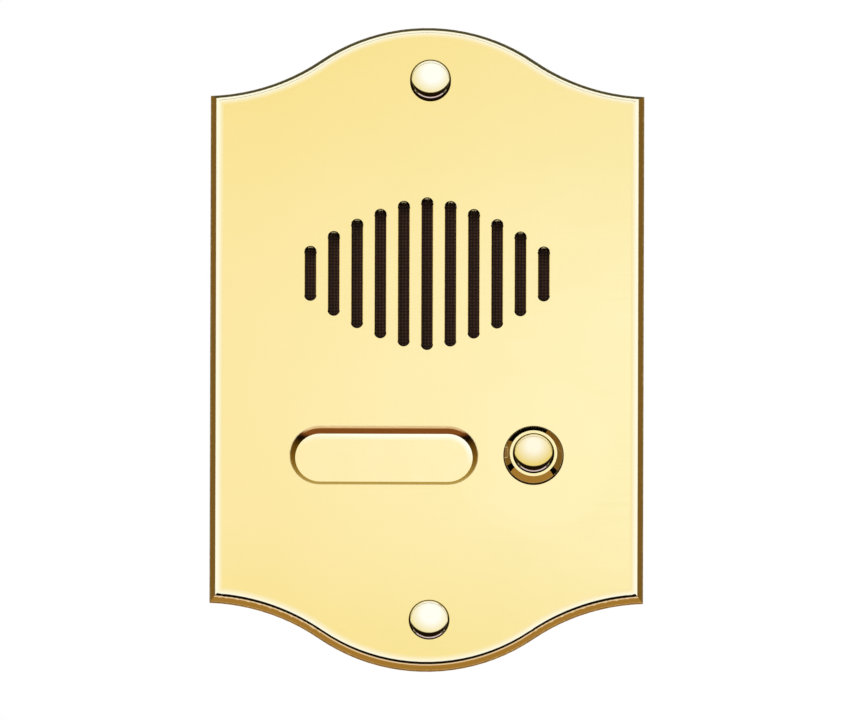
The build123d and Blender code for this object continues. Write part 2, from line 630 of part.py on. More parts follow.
def speech_case():
    """Moulded case: open behind, with a floor against the grille, posts, ribs and two lugs."""
    case = slab(case_shape(CASE_WIDTH, CASE_HEIGHT, CASE_CORNER), WEB_BACK, CASE_BACK)
    for i, (x, z) in zip((1, -1), UNIT_STUDS):
        foot = Pos(x, z - i * CASE_LUG_RADIUS) * Rectangle(2 * CASE_LUG_RADIUS, 2 * CASE_LUG_RADIUS)
        lug = Pos(x, z) * Circle(CASE_LUG_RADIUS) + foot
        case += slab(lug, WEB_BACK, WEB_BACK + CASE_LUG_THICKNESS)
        case -= rod(STUD_RADIUS + HOLE_GAP, WEB_BACK, WEB_BACK + CASE_LUG_THICKNESS, x, z)
    inside = case_shape(CASE_INSIDE_WIDTH, CASE_INSIDE_HEIGHT, CASE_CORNER / 2)
    case -= slab(inside, WEB_BACK, CLOTH_BACK)
    case -= slab(inside, CASE_FLOOR, CASE_BACK)

    ribs = Sketch()
    for x, radius in ((SPEAKER_X, SPEAKER_RADIUS), (MICROPHONE_X, BOOT_RADIUS)):
        inner = radius + SEAT_GAP
        ribs += Pos(x, GRILLE_Z) * (Circle(inner + LOCATING_RIB) - Circle(inner))
    case += slab(ribs & inside, CASE_FLOOR, SPEAKER_FRONT + SPEAKER_SHEET)
    case -= rod(SPEAKER_RADIUS - SPEAKER_FLANGE, CLOTH_BACK, CASE_FLOOR, SPEAKER_X, GRILLE_Z)
    case -= rod(MICROPHONE_RADIUS / 2, CLOTH_BACK, CASE_FLOOR, MICROPHONE_X, GRILLE_Z)

    for x, z in POST_PLACES:
        case += rod(POST_RADIUS, CASE_FLOOR, BOARD_FRONT, x, z)
        case += rod(POST_TIP_RADIUS, BOARD_FRONT, CASE_BACK, x, z)
        case -= rod(COVER_SCREW_RADIUS + THREAD_GAP, BOARD_BACK, CASE_BACK, x, z)
    case -= slab(terminal_notch(SEAT_GAP), BOARD_BACK, CASE_BACK)
    return case


def speech_cover():
    """Rear cover, with bosses that slip over the posts and hold the circuit board down."""
    back = CASE_BACK + CASE_WALL
    cover = slab(case_shape(CASE_WIDTH, CASE_HEIGHT, CASE_CORNER), CASE_BACK, back)
    cover = fillet(cover.faces().sort_by(Axis.Y)[-1].edges(), CASE_WALL / 2)
    for x, z in POST_PLACES:
        cover += ring(POST_RADIUS, POST_TIP_RADIUS + BUTTON_FIT, BOARD_BACK, CASE_BACK, x, z)
        cover -= rod(COVER_SCREW_RADIUS + THREAD_GAP, CASE_BACK, back, x, z)
    return cover - slab(terminal_notch(SEAT_GAP), BOARD_BACK, back)


def cover_screws():
    seat = CASE_BACK + CASE_WALL
    length = seat - BOARD_BACK - 1.0
    return group(pan_screw(COVER_SCREW_RADIUS, seat, length, x, z) for x, z in POST_PLACES)


def speaker_gasket():
    inner = SPEAKER_RADIUS - SPEAKER_FLANGE
    return ring(SPEAKER_RADIUS, inner, CASE_FLOOR, SPEAKER_FRONT, SPEAKER_X, GRILLE_Z)


def speaker_frame():
    """Pressed basket: a flat flange, a conical wall with four windows and a flat back."""
    mouth = SPEAKER_RADIUS - SPEAKER_FLANGE
    seat = SPEAKER_FRONT + SPEAKER_SHEET
    floor = SPEAKER_BACK - SPEAKER_SHEET
    frame = turned(
        [
            (mouth - SPEAKER_SHEET, SPEAKER_FRONT),
            (SPEAKER_RADIUS, SPEAKER_FRONT),
            (SPEAKER_RADIUS, seat),
            (mouth, seat),
            (MAGNET_RADIUS, SPEAKER_BACK),
            (0, SPEAKER_BACK),
            (0, floor),
            (MAGNET_RADIUS - SPEAKER_SHEET, floor),
        ],
        SPEAKER_X,
        GRILLE_Z,
    )
    reach = (mouth + MAGNET_RADIUS) / 2
    for place in PolarLocations(reach, 4, start_angle=45):
        window = Pos(SPEAKER_X, GRILLE_Z) * place * Rectangle((mouth - MAGNET_RADIUS) / 2, 0.8 * reach)
        frame -= slab(window, seat, floor)
    return frame


def speaker_cone():
    """Paper cone with a flat middle, its rim glued to the front of the basket."""
    rim = SPEAKER_RADIUS - SPEAKER_FLANGE - SEAT_GAP
    bend = rim - SPEAKER_SHEET - 2 * CONE_THICKNESS
    throat = MAGNET_RADIUS / 2
    front = SPEAKER_FRONT - CONE_THICKNESS
    foot = SPEAKER_BACK - SPEAKER_SHEET - SEAT_GAP - CONE_THICKNESS
    return turned(
        [
            (0, foot),
            (throat, foot),
            (bend, front),
            (rim, front),
            (rim, front + CONE_THICKNESS),
            (bend, front + CONE_THICKNESS),
            (throat, foot + CONE_THICKNESS),
            (0, foot + CONE_THICKNESS),
        ],
        SPEAKER_X,
        GRILLE_Z,
    )


def speaker_magnet():
    magnet = rod(MAGNET_RADIUS, SPEAKER_BACK, MAGNET_BACK, SPEAKER_X, GRILLE_Z)
    return fillet(magnet.edges().sort_by(Axis.Y)[-1], MAGNET_ROUNDING)


def speaker_pad():
    """Foam pad between the magnet and the cover."""
    return rod(0.7 * MAGNET_RADIUS, MAGNET_BACK, CASE_BACK, SPEAKER_X, GRILLE_Z)


def microphone_boot():
    """Rubber sleeve between the case floor and the circuit board."""
    boot = rod(BOOT_RADIUS, CASE_FLOOR, BOARD_FRONT, MICROPHONE_X, GRILLE_Z)
    boot -= rod(MICROPHONE_RADIUS, CASE_FLOOR + BOOT_WALL, BOARD_FRONT, MICROPHONE_X, GRILLE_Z)
    return boot - rod(MICROPHONE_RADIUS / 2, CASE_FLOOR, CASE_FLOOR + BOOT_WALL, MICROPHONE_X, GRILLE_Z)


def microphone():
    front = CASE_FLOOR + BOOT_WALL
    return rod(MICROPHONE_RADIUS, front, front + MICROPHONE_LENGTH, MICROPHONE_X, GRILLE_Z)


def circuit_board():
    """Board on the four posts, with a round opening for the magnet."""
    width = CASE_INSIDE_WIDTH - 4 * SEAT_GAP
    height = CASE_INSIDE_HEIGHT - 4 * SEAT_GAP
    board = slab(case_shape(width, height, CASE_CORNER / 2), BOARD_FRONT, BOARD_BACK)
    opening = SPEAKER_RADIUS - SPEAKER_FLANGE - 2 * SPEAKER_SHEET
    board -= rod(opening, BOARD_FRONT, BOARD_BACK, SPEAKER_X, GRILLE_Z)
    for x, z in POST_PLACES:
        board -= rod(POST_TIP_RADIUS + BUTTON_FIT, BOARD_FRONT, BOARD_BACK, x, z)
    return board


def terminal_places():
    first = -(BLOCK_WAYS - 1) / 2
    return [((first + i) * BLOCK_PITCH, TERMINAL_BLOCK_Z) for i in range(BLOCK_WAYS)]


def terminal_block():
    """Moulded block with a screw well behind and a wire hole below for each way."""
    back = BOARD_BACK + BLOCK_HEIGHT
    outline = Pos(0, TERMINAL_BLOCK_Z) * Rectangle(TERMINAL_BLOCK_WIDTH, BLOCK_DEPTH)
    block = slab(outline, BOARD_BACK, back)
    block = chamfer(block.faces().sort_by(Axis.Y)[-1].edges().filter_by(Axis.X), BLOCK_CHAMFER)
    bottom = TERMINAL_BLOCK_Z - BLOCK_DEPTH / 2
    for x, z in terminal_places():
        block -= rod(TERMINAL_WELL_RADIUS, back - TERMINAL_WELL_DEPTH, back, x, z)
        entry = Plane(origin=(x, BOARD_BACK + WIRE_HOLE_RISE, bottom), z_dir=(0, 0, 1))
        hole = Rectangle(0.6 * BLOCK_PITCH, WIRE_HOLE_HEIGHT)
        block -= extrude(entry * hole, amount=0.6 * BLOCK_DEPTH)
    return block


def terminal_block_screws():
    """Slotted clamp screws, set low in their wells."""
    floor = BOARD_BACK + BLOCK_HEIGHT - TERMINAL_WELL_DEPTH
    top = floor + TERMINAL_SCREW_HEIGHT
    screws = []
    for x, z in terminal_places():
        screw = rod(TERMINAL_WELL_RADIUS - THREAD_GAP, floor, top, x, z)
        slot = Pos(x, z) * Rectangle(BLOCK_PITCH, TERMINAL_SCREW_SLOT)
        screws.append(screw - slab(slot, (floor + top) / 2, top))
    return group(screws)


PIECES = [
    face_plate,
    fixing_screws,
    screw_caps,
    name_plate,
    name_plate_holder,
    plate_studs,
    stud_nuts,
    button_bezel,
    bezel_washer,
    bezel_nut,
    push_button,
    button_stem,
    return_spring,
    contact_bridge,
    bridge_clip,
    contact_block,
    contact_cover,
    contact_cover_screws,
    contact_studs,
    terminal_washers,
    terminal_nuts,
    grille_cloth,
    speech_case,
    speech_cover,
    cover_screws,
    speaker_gasket,
    speaker_frame,
    speaker_cone,
    speaker_magnet,
    speaker_pad,
    microphone_boot,
    microphone,
    circuit_board,
    terminal_block,
    terminal_block_screws,
]

os.makedirs("parts", exist_ok=True)
for piece in PIECES:
    export_step(piece(), f"parts/{piece.__name__}.step")
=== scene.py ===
import bmesh
import bpy
import numpy as np
from mathutils import Matrix, Vector


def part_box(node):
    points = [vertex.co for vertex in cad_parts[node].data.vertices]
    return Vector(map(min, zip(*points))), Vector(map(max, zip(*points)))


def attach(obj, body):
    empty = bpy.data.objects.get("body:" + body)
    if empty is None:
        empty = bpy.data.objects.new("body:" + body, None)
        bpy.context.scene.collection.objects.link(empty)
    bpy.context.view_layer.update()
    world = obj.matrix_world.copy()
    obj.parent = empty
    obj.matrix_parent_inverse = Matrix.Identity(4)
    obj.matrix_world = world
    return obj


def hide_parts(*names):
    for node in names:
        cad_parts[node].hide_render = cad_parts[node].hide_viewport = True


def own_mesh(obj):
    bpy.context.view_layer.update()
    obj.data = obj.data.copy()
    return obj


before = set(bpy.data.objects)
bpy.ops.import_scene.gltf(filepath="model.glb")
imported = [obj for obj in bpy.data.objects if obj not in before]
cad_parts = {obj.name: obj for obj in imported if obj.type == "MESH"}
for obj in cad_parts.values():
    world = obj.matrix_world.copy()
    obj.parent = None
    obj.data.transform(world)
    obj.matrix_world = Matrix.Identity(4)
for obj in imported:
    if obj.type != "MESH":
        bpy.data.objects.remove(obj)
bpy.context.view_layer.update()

MM = 0.001
TURN = 2 * np.pi
# scale at which the wave texture repeats once a metre
WAVE = TURN / 20
PLATE_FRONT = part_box("face_plate")[0][1]
# back of the plate inside its rim, where the name plate lies
WEB_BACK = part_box("name_plate")[0][1]
# how far the name plate reaches past the front edge of its window
NAME_PLATE_MARGIN = 1.9 * MM
# values that a noise pattern mostly keeps to, and those of waves and cells
NOISE_SPAN = (0.3, 0.7)
WHOLE_SPAN = (0.0, 1.0)


# Building blocks

def linear(code):
    """sRGB hex to linear light: the standard curve, with its straight foot."""
    v = np.array([int(code[i:i + 2], 16) for i in (1, 3, 5)]) / 255
    return (*np.where(v <= 0.04045, v / 12.92, ((v + 0.055) / 1.055) ** 2.4), 1.0)


def wire(tree, node, inputs):
    """Sets a node's sockets. A socket, or the first live output of a node, is linked, a hex code
    becomes a linear colour, and anything else is the socket's constant value."""
    for key, value in inputs.items():
        if isinstance(value, bpy.types.Node):
            value = next(output for output in value.outputs if output.enabled)
        if isinstance(value, bpy.types.NodeSocket):
            tree.links.new(value, node.inputs[key])
        else:
            node.inputs[key].default_value = linear(value) if isinstance(value, str) else value
    return node


def add(tree, kind, inputs=None, stops=(), **settings):
    """Adds a node with its settings, socket values, links and any stops of (place, colour)."""
    node = tree.nodes.new("ShaderNode" + kind)
    for key, value in settings.items():
        setattr(node, key, value)
    for place, _ in stops[2:]:
        node.color_ramp.elements.new(place)
    for i, (place, colour) in enumerate(stops):
        node.color_ramp.elements[i].position = place
        node.color_ramp.elements[i].color = colour
    return wire(tree, node, inputs or {})


def finish(name, constants):
    """A new material with one surface shader, and its pattern place, in the object's own metres.
    The constants hold all over the surface."""
    material = bpy.data.materials.new(name)
    material.use_nodes = True
    tree = material.node_tree
    shader = wire(tree, tree.nodes["Principled BSDF"], constants)
    return material, tree, shader, add(tree, "TexCoord").outputs["Object"]


def dress(tree, shader, clouds, tones, marks, rough, span=NOISE_SPAN, bump=None, relief=None):
    """Colour between two tones by the clouds, roughness between two values by the marks over
    their span, and a bump of (strength, depth) by the relief, or else by the marks."""
    colour = add(tree, "Mix", {0: clouds, 6: tones[0], 7: tones[1]}, data_type="RGBA")
    gloss = add(tree, "MapRange", {0: marks, 1: span[0], 2: span[1], 3: rough[0], 4: rough[1]})
    wire(tree, shader, {"Base Color": colour, "Roughness": gloss})
    if bump:
        height = {"Strength": bump[0], "Distance": bump[1], "Height": relief or marks}
        wire(tree, shader, {"Normal": add(tree, "Bump", height)})


def piece(name, grids, material, body, stands_for):
    """One object from closed point grids: each grid is rows of rings, its poles and seams
    are merged and its faces turned outwards."""
    points, faces, start = [], [], 0
    seam, crease = 2e-6, np.radians(40)
    for grid in grids:
        rows, columns = grid.shape[:2]
        r = np.arange(rows - 1)[:, None] * columns
        c = np.arange(columns)[None, :]
        d = (c + 1) % columns
        quads = np.stack([r + c, r + d, r + columns + d, r + columns + c], axis=-1)
        points.append(grid.reshape(-1, 3))
        faces.append(quads.reshape(-1, 4) + start)
        start += rows * columns
    mesh = bpy.data.meshes.new(name)
    mesh.from_pydata(np.concatenate(points), [], np.concatenate(faces).tolist())
    work = bmesh.new()
    work.from_mesh(mesh)
    bmesh.ops.remove_doubles(work, verts=work.verts, dist=seam)
    bmesh.ops.recalc_face_normals(work, faces=work.faces)
    work.to_mesh(mesh)
    work.free()
    mesh.shade_smooth()
    mesh.set_sharp_from_angle(angle=crease)
    mesh.materials.append(material)
    obj = bpy.data.objects.new(name, mesh)
    bpy.context.collection.objects.link(obj)
    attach(obj, body)
    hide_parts(stands_for)
    return obj


def spun(radius, depth, x, z, columns=36):
    """Rings about a line along Y through (x, z). radius and depth are given row by row;
    radius may also change round each ring."""
    angle = np.linspace(0, TURN, columns, endpoint=False)
    r = np.broadcast_to(np.reshape(radius, (len(depth), -1)), (len(depth), columns))
    y = np.broadcast_to(np.reshape(depth, (-1, 1)), r.shape)
    return np.stack([x + r * np.cos(angle), y, z + r * np.sin(angle)], axis=-1)


def threaded(crest, front, back, pitch, tip, columns=36):
    """(radius, depth) of a screw thread: the radius is a triangle wave of depth over pitch
    less angle over one turn. It runs out over the first turn, and the tip is chamfered."""
    rows_a_pitch, deep, steep, flat = 8, 0.55, 1.35, 0.2
    depth = np.linspace(front, back, int(round((back - front) / pitch * rows_a_pitch)) + 1)
    angle = np.linspace(0, 1, columns, endpoint=False)
    phase = (depth[:, None] / pitch - angle) % 1.0
    groove = deep * pitch * np.clip(steep * np.abs(2 * phase - 1) - flat, 0, 1)
    fade = np.clip((depth - front) / pitch, 0, 1)[:, None]
    cone = crest - tip + (back - depth)[:, None]
    return np.minimum(crest - fade * groove, cone), depth


def rings(*parts, columns=36):
    """Stacks (radius, depth) parts: plain corners as two short lists, threads as arrays."""
    radius = [np.broadcast_to(np.reshape(r, (len(d), -1)), (len(d), columns)) for r, d in parts]
    return np.concatenate(radius), np.concatenate([np.asarray(d, float) for _, d in parts])


def middles(node):
    """Middle of a node's box across X and Z."""
    low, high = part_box(node)
    return (low[0] + high[0]) / 2, (low[2] + high[2]) / 2


def window_half():
    """Half the width and half the height of the name window's front edge: the name plate's, less
    its margin."""
    low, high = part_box("name_plate")
    return (high[0] - low[0]) / 2 - NAME_PLATE_MARGIN, (high[2] - low[2]) / 2 - NAME_PLATE_MARGIN


# Places on the brass

def window_place(tree, place):
    """Where a point lies in the name window: across and up from its middle, and its reach, the
    distance to the middle line that joins the two round ends."""
    x, z = middles("name_plate")
    half_width, half_height = window_half()
    away = add(tree, "VectorMath", {0: place, 1: (x, 0, z)}, operation="SUBTRACT")
    across, _, up = add(tree, "SeparateXYZ", {0: away}).outputs
    past = add(tree, "Math", {0: across}, operation="ABSOLUTE")
    past = add(tree, "Math", {0: past, 1: half_width - half_height}, operation="SUBTRACT")
    past = add(tree, "Math", {0: past, 1: 0.0}, operation="MAXIMUM")
    round_end = add(tree, "CombineXYZ", {0: past, 1: up})
    return across, up, add(tree, "VectorMath", {0: round_end}, operation="LENGTH")


def axis_gap(tree, place, axes, across=0.0, up=0.0):
    """Distance to the nearest of some axes along Y, each moved across and up."""
    nearest = 1.0
    for x, z in axes:
        away = add(tree, "VectorMath", {0: place, 1: (x + across, 0, z + up)}, operation="SUBTRACT")
        flat = add(tree, "VectorMath", {0: away, 1: (1, 0, 1)}, operation="MULTIPLY")
        gap = add(tree, "VectorMath", {0: flat}, operation="LENGTH")
        nearest = add(tree, "Math", {0: gap, 1: nearest}, operation="MINIMUM")
    return nearest


def cap_axes():
    """Middles of the two screw caps, across and up: the ends of their box, moved in by a radius."""
    low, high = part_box("screw_caps")
    radius = (high[0] - low[0]) / 2
    middle = (low[0] + high[0]) / 2
    return [(middle, low[2] + radius), (middle, high[2] - radius)]


# Polished brass, with painted highlights, shade and reflections

def matt_where_painted(tree, shader, share, rough):
    """Bare metal of a given roughness, and a matt non-metal where the share says so, which shows painted
    shade and reflection.
    """
    metal = add(tree, "MapRange", {0: share, 3: 1.0, 4: 0.0})
    shine = add(tree, "MapRange", {0: share, 3: 0.5, 4: 0.0})
    matt = add(tree, "Mix", {0: share, 2: rough, 3: 0.6})
    wire(tree, shader, {"Metallic": metal, "Specular IOR Level": shine, "Roughness": matt})


def rounded_edge(tree):
    """Shares of two tones on the rounded edge of the plate, by its lean in degrees: a painted pale
    highlight where it starts to lean, and a painted dark reflection in a line along the lower side."""
    across, out, up = add(tree, "SeparateXYZ", {0: add(tree, "NewGeometry").outputs["Normal"]}).outputs
    ahead = add(tree, "Math", {0: out, 1: -1.0}, operation="MULTIPLY")
    lean = add(tree, "Math", {0: ahead}, operation="ARCCOSINE")
    lean = add(tree, "Math", {0: lean}, operation="DEGREES")
    start = add(tree, "MapRange", {0: lean, 1: 5.0, 2: 30.0})
    stop = add(tree, "MapRange", {0: lean, 1: 46.0, 2: 43.0})
    painted_edge_highlight = add(tree, "Math", {0: start, 1: stop}, operation="MULTIPLY")
    round_the_edge = add(tree, "CombineXYZ", {0: across, 1: up})
    towards = add(tree, "VectorMath", {0: round_the_edge}, operation="NORMALIZE")
    down = add(tree, "SeparateXYZ", {0: towards}).outputs[1]
    # the painted dark reflection is widest straight below and runs out towards the sides
    wide = add(tree, "MapRange", {0: down, 1: 0.0, 2: -1.0, 3: 45.0, 4: 31.5})
    past = add(tree, "Math", {0: lean, 1: wide}, operation="SUBTRACT")
    line = add(tree, "MapRange", {0: past, 1: -0.6, 2: 0.6})
    stop = add(tree, "MapRange", {0: lean, 1: 46.0, 2: 45.0})
    line = add(tree, "Math", {0: line, 1: stop}, operation="MULTIPLY")
    low = add(tree, "MapRange", {0: down, 1: -0.15, 2: -0.3})
    return painted_edge_highlight, add(tree, "Math", {0: line, 1: low}, operation="MULTIPLY")


def window_walls(tree, place, depth):
    """Share and colour of painted shade and reflection on the walls of the name window, olive below
    and dark brown to black above, with a painted pale reflection along the upper edge; and the
    share of the plate outside the window."""
    _, up, reach = window_place(tree, place)
    half = window_half()[1]
    inside = add(tree, "MapRange", {0: reach, 1: half + 0.15 * MM, 2: half - 0.05 * MM})
    sunk = add(tree, "MapRange", {0: depth, 1: PLATE_FRONT + 0.05 * MM, 2: PLATE_FRONT + 0.3 * MM})
    share = add(tree, "Math", {0: inside, 1: sunk}, operation="MULTIPLY")
    height = add(tree, "MapRange", {0: up, 1: 0.05 * MM - half, 2: half - 0.05 * MM})
    painted_wall_shading = add(tree, "ValToRGB", {0: height}, stops=[(at, linear(code)) for at, code in WINDOW_PAINTED_SHADING])
    # a painted pale reflection along the upper edge of the walls, near the front
    upper = add(tree, "MapRange", {0: up, 1: half - 2.05 * MM, 2: half - 1.05 * MM})
    edge = add(tree, "MapRange", {0: depth, 1: PLATE_FRONT + 1.0 * MM, 2: PLATE_FRONT + 0.8 * MM})
    edge = add(tree, "Math", {0: edge, 1: upper}, operation="MULTIPLY")
    tone = add(tree, "Mix", {0: edge, 6: painted_wall_shading, 7: "#F0CF98"}, data_type="RGBA")
    outside = add(tree, "MapRange", {0: reach, 1: half + 0.55 * MM, 2: half + 0.95 * MM})
    return share, tone, outside


def slot_walls(tree, place, depth):
    """Share and colour of painted shade on the walls of the grille's slots, with a painted pale
    highlight near the front at the upper end of each slot."""
    low, high = np.array(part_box("grille_cloth"))
    away = add(tree, "VectorMath", {0: place, 1: (low + high) / 2}, operation="SUBTRACT")
    away = add(tree, "VectorMath", {0: away}, operation="ABSOLUTE")
    across, _, up = add(tree, "SeparateXYZ", {0: away}).outputs
    across = add(tree, "Math", {0: across, 1: (high[0] - low[0]) / 2}, operation="LESS_THAN")
    up = add(tree, "Math", {0: up, 1: (high[2] - low[2]) / 2}, operation="LESS_THAN")
    deep = add(tree, "MapRange", {0: depth, 1: PLATE_FRONT + 0.14 * MM, 2: PLATE_FRONT + 0.2 * MM})
    facing = add(tree, "SeparateXYZ", {0: add(tree, "NewGeometry").outputs["Normal"]}).outputs[2]
    mouth = add(tree, "MapRange", {0: facing, 1: -0.3, 2: -0.5})
    deep = add(tree, "Math", {0: deep, 1: mouth}, operation="MAXIMUM")
    share = add(tree, "Math", {0: across, 1: up}, operation="MULTIPLY")
    share = add(tree, "Math", {0: share, 1: deep}, operation="MULTIPLY")
    # a painted pale highlight on the downward-facing wall near the front
    under = add(tree, "MapRange", {0: facing, 1: -0.88, 2: -0.97})
    near = add(tree, "MapRange", {0: depth, 1: PLATE_FRONT + 2.0 * MM, 2: PLATE_FRONT + 1.5 * MM})
    rubbed = add(tree, "Math", {0: under, 1: near}, operation="MULTIPLY")
    return share, add(tree, "Mix", {0: rubbed, 6: "#160E08", 7: "#D9CB9C"}, data_type="RGBA")


def milled_rim(tree, place, depth):
    """Share of the milled rim, which is flat against the wall, and its milling lines along X."""
    back = add(tree, "SeparateXYZ", {0: add(tree, "NewGeometry").outputs["Normal"]}).outputs[1]
    flat = add(tree, "MapRange", {0: back, 1: 0.9, 2: 0.97})
    outer = add(tree, "MapRange", {0: depth, 1: -0.3 * MM, 2: -0.1 * MM})
    share = add(tree, "Math", {0: flat, 1: outer}, operation="MULTIPLY")
    # milling lines of about 0.1 mm, drawn 0.4 mm wide and 80 mm long to show
    along = add(tree, "Mapping", {"Vector": place, "Scale": (1 / (80 * MM), 1.0, 1 / (0.4 * MM))})
    return share, add(tree, "TexNoise", {"Vector": along, "Scale": 1.0, "Detail": 3.0})


def cast_back(tree, place, depth, behind):
    """Colour, roughness and bump height of the plate's back: dull, stained and grainy as it was
    cast, and brighter where the rim is milled."""
    # moulding sand of about 0.3 mm, drawn at 0.8 mm to show
    sand = add(tree, "TexNoise", {"Vector": place, "Scale": 1 / (0.8 * MM), "Detail": 4.0})
    speckle = add(tree, "MapRange", {0: sand, 1: NOISE_SPAN[0], 2: NOISE_SPAN[1]})
    colour = add(tree, "Mix", {0: speckle, 6: "#C29E4B", 7: "#E2C475"}, data_type="RGBA")
    stain = add(tree, "TexNoise", {"Vector": place, "Scale": 1 / (17 * MM), "Detail": 5.0})
    stain = add(tree, "MapRange", {0: stain, 1: 0.44, 2: 0.74, 4: 0.4})
    colour = add(tree, "Mix", {0: stain, 6: colour, 7: "#8A6A30"}, data_type="RGBA")
    milled, lines = milled_rim(tree, place, depth)
    bright = add(tree, "Mix", {0: lines, 6: "#D3AE5B", 7: "#E2C178"}, data_type="RGBA")
    colour = add(tree, "Mix", {0: milled, 6: colour, 7: bright}, data_type="RGBA")
    dull = add(tree, "MapRange", {0: sand, 1: NOISE_SPAN[0], 2: NOISE_SPAN[1], 3: 0.34, 4: 0.52})
    satin = add(tree, "MapRange", {0: lines, 1: NOISE_SPAN[0], 2: NOISE_SPAN[1], 3: 0.25, 4: 0.31})
    rough = add(tree, "Mix", {0: milled, 2: dull, 3: satin})
    bare = add(tree, "Math", {0: behind, 1: milled}, operation="SUBTRACT")
    return colour, rough, add(tree, "Math", {0: sand, 1: bare}, operation="MULTIPLY")


def polished_plate_brass():
    """Cast brass, polished and lacquered on the front and left as cast behind: pale gold with
    soft clouds and polishing hairs on the front, a painted highlight on its rounded edge, painted shade
    and reflection in its openings and along its lower edge, and a dull back."""
    material, tree, shader, place = finish("polished_plate_brass", {})
    depth = add(tree, "SeparateXYZ", {0: place}).outputs[1]
    behind = add(tree, "MapRange", {0: depth, 1: WEB_BACK - 0.12 * MM, 2: WEB_BACK - 0.02 * MM})
    clouds = add(tree, "TexNoise", {"Vector": place, "Scale": 1 / (34 * MM), "Detail": 3.0})
    front = add(tree, "Mix", {0: clouds, 6: "#F6E19C", 7: "#FAE4A6"}, data_type="RGBA")
    painted_edge_highlight, line = rounded_edge(tree)
    # a painted pale highlight on the rounded edge
    front = add(tree, "Mix", {0: painted_edge_highlight, 6: front, 7: "#FFF6D8"}, data_type="RGBA")
    window, painted_wall_shading, outside = window_walls(tree, place, depth)
    # painted shade and reflection on the walls of the name window
    front = add(tree, "Mix", {0: window, 6: front, 7: painted_wall_shading}, data_type="RGBA")
    slots, shade = slot_walls(tree, place, depth)
    # painted shade in the slots, with their painted highlight
    front = add(tree, "Mix", {0: slots, 6: front, 7: shade}, data_type="RGBA")
    # a painted dark reflection in a line along the lower edge, outside the window
    line = add(tree, "Math", {0: line, 1: outside}, operation="MULTIPLY")
    front = add(tree, "Mix", {0: line, 6: front, 7: "#140D03"}, data_type="RGBA")
    # the share of painted shade and reflection, made matt
    painted_shading = add(tree, "Math", {0: window, 1: slots}, operation="MAXIMUM")
    painted_shading = add(tree, "Math", {0: painted_shading, 1: line}, operation="MAXIMUM")
    # real polishing hairs are about 0.02 mm wide; drawn 0.5 mm wide and 40 mm long to show
    along = add(tree, "Mapping", {"Vector": place, "Scale": (1 / (40 * MM), 1 / (2 * MM), 1 / (0.5 * MM))})
    hairs = add(tree, "TexNoise", {"Vector": along, "Scale": 1.0, "Detail": 2.0})
    gloss = add(tree, "MapRange", {0: hairs, 1: NOISE_SPAN[0], 2: NOISE_SPAN[1], 3: 0.05, 4: 0.075})
    # fingers and the polishing cloth have rubbed the face smoother round the bezel
    rubbed = axis_gap(tree, place, [middles("button_bezel")])
    rubbed = add(tree, "MapRange", {0: rubbed, 1: 24 * MM, 2: 16 * MM})
    gloss = add(tree, "Mix", {0: rubbed, 2: gloss, 3: 0.015})
    cast, dull, grain = cast_back(tree, place, depth, behind)
    colour = add(tree, "Mix", {0: behind, 6: front, 7: cast}, data_type="RGBA")
    matt_where_painted(tree, shader, painted_shading, add(tree, "Mix", {0: behind, 2: gloss, 3: dull}))
    bump = add(tree, "Bump", {"Strength": 0.5, "Distance": 0.15 * MM, "Height": grain})
    wire(tree, shader, {"Base Color": colour, "Normal": bump})
    return material


def buffed_brass(name, tint, gloss):
    """Brass turned, then buffed to a mirror: cloudy tones, an uneven gloss, and matt painted shade and
    reflection where the tint puts them. The tint gives the colour and the share of painted shade and
    reflection at a place, or None where there is none."""
    material, tree, shader, place = finish(name, {"Metallic": 1.0})
    clouds = add(tree, "TexNoise", {"Vector": place, "Scale": 1 / (9 * MM), "Detail": 3.0})
    colour, painted_shading = tint(tree, place, clouds)
    # buffing marks of about 0.02 mm, drawn 0.4 mm wide to show
    marks = add(tree, "TexNoise", {"Vector": place, "Scale": 1 / (0.4 * MM), "Detail": 2.0})
    rough = add(tree, "MapRange", {0: marks, 1: NOISE_SPAN[0], 2: NOISE_SPAN[1], 3: gloss, 4: 1.6 * gloss})
    wire(tree, shader, {"Base Color": colour, "Roughness": rough})
    if painted_shading is not None:
        matt_where_painted(tree, shader, painted_shading, rough)
    return material


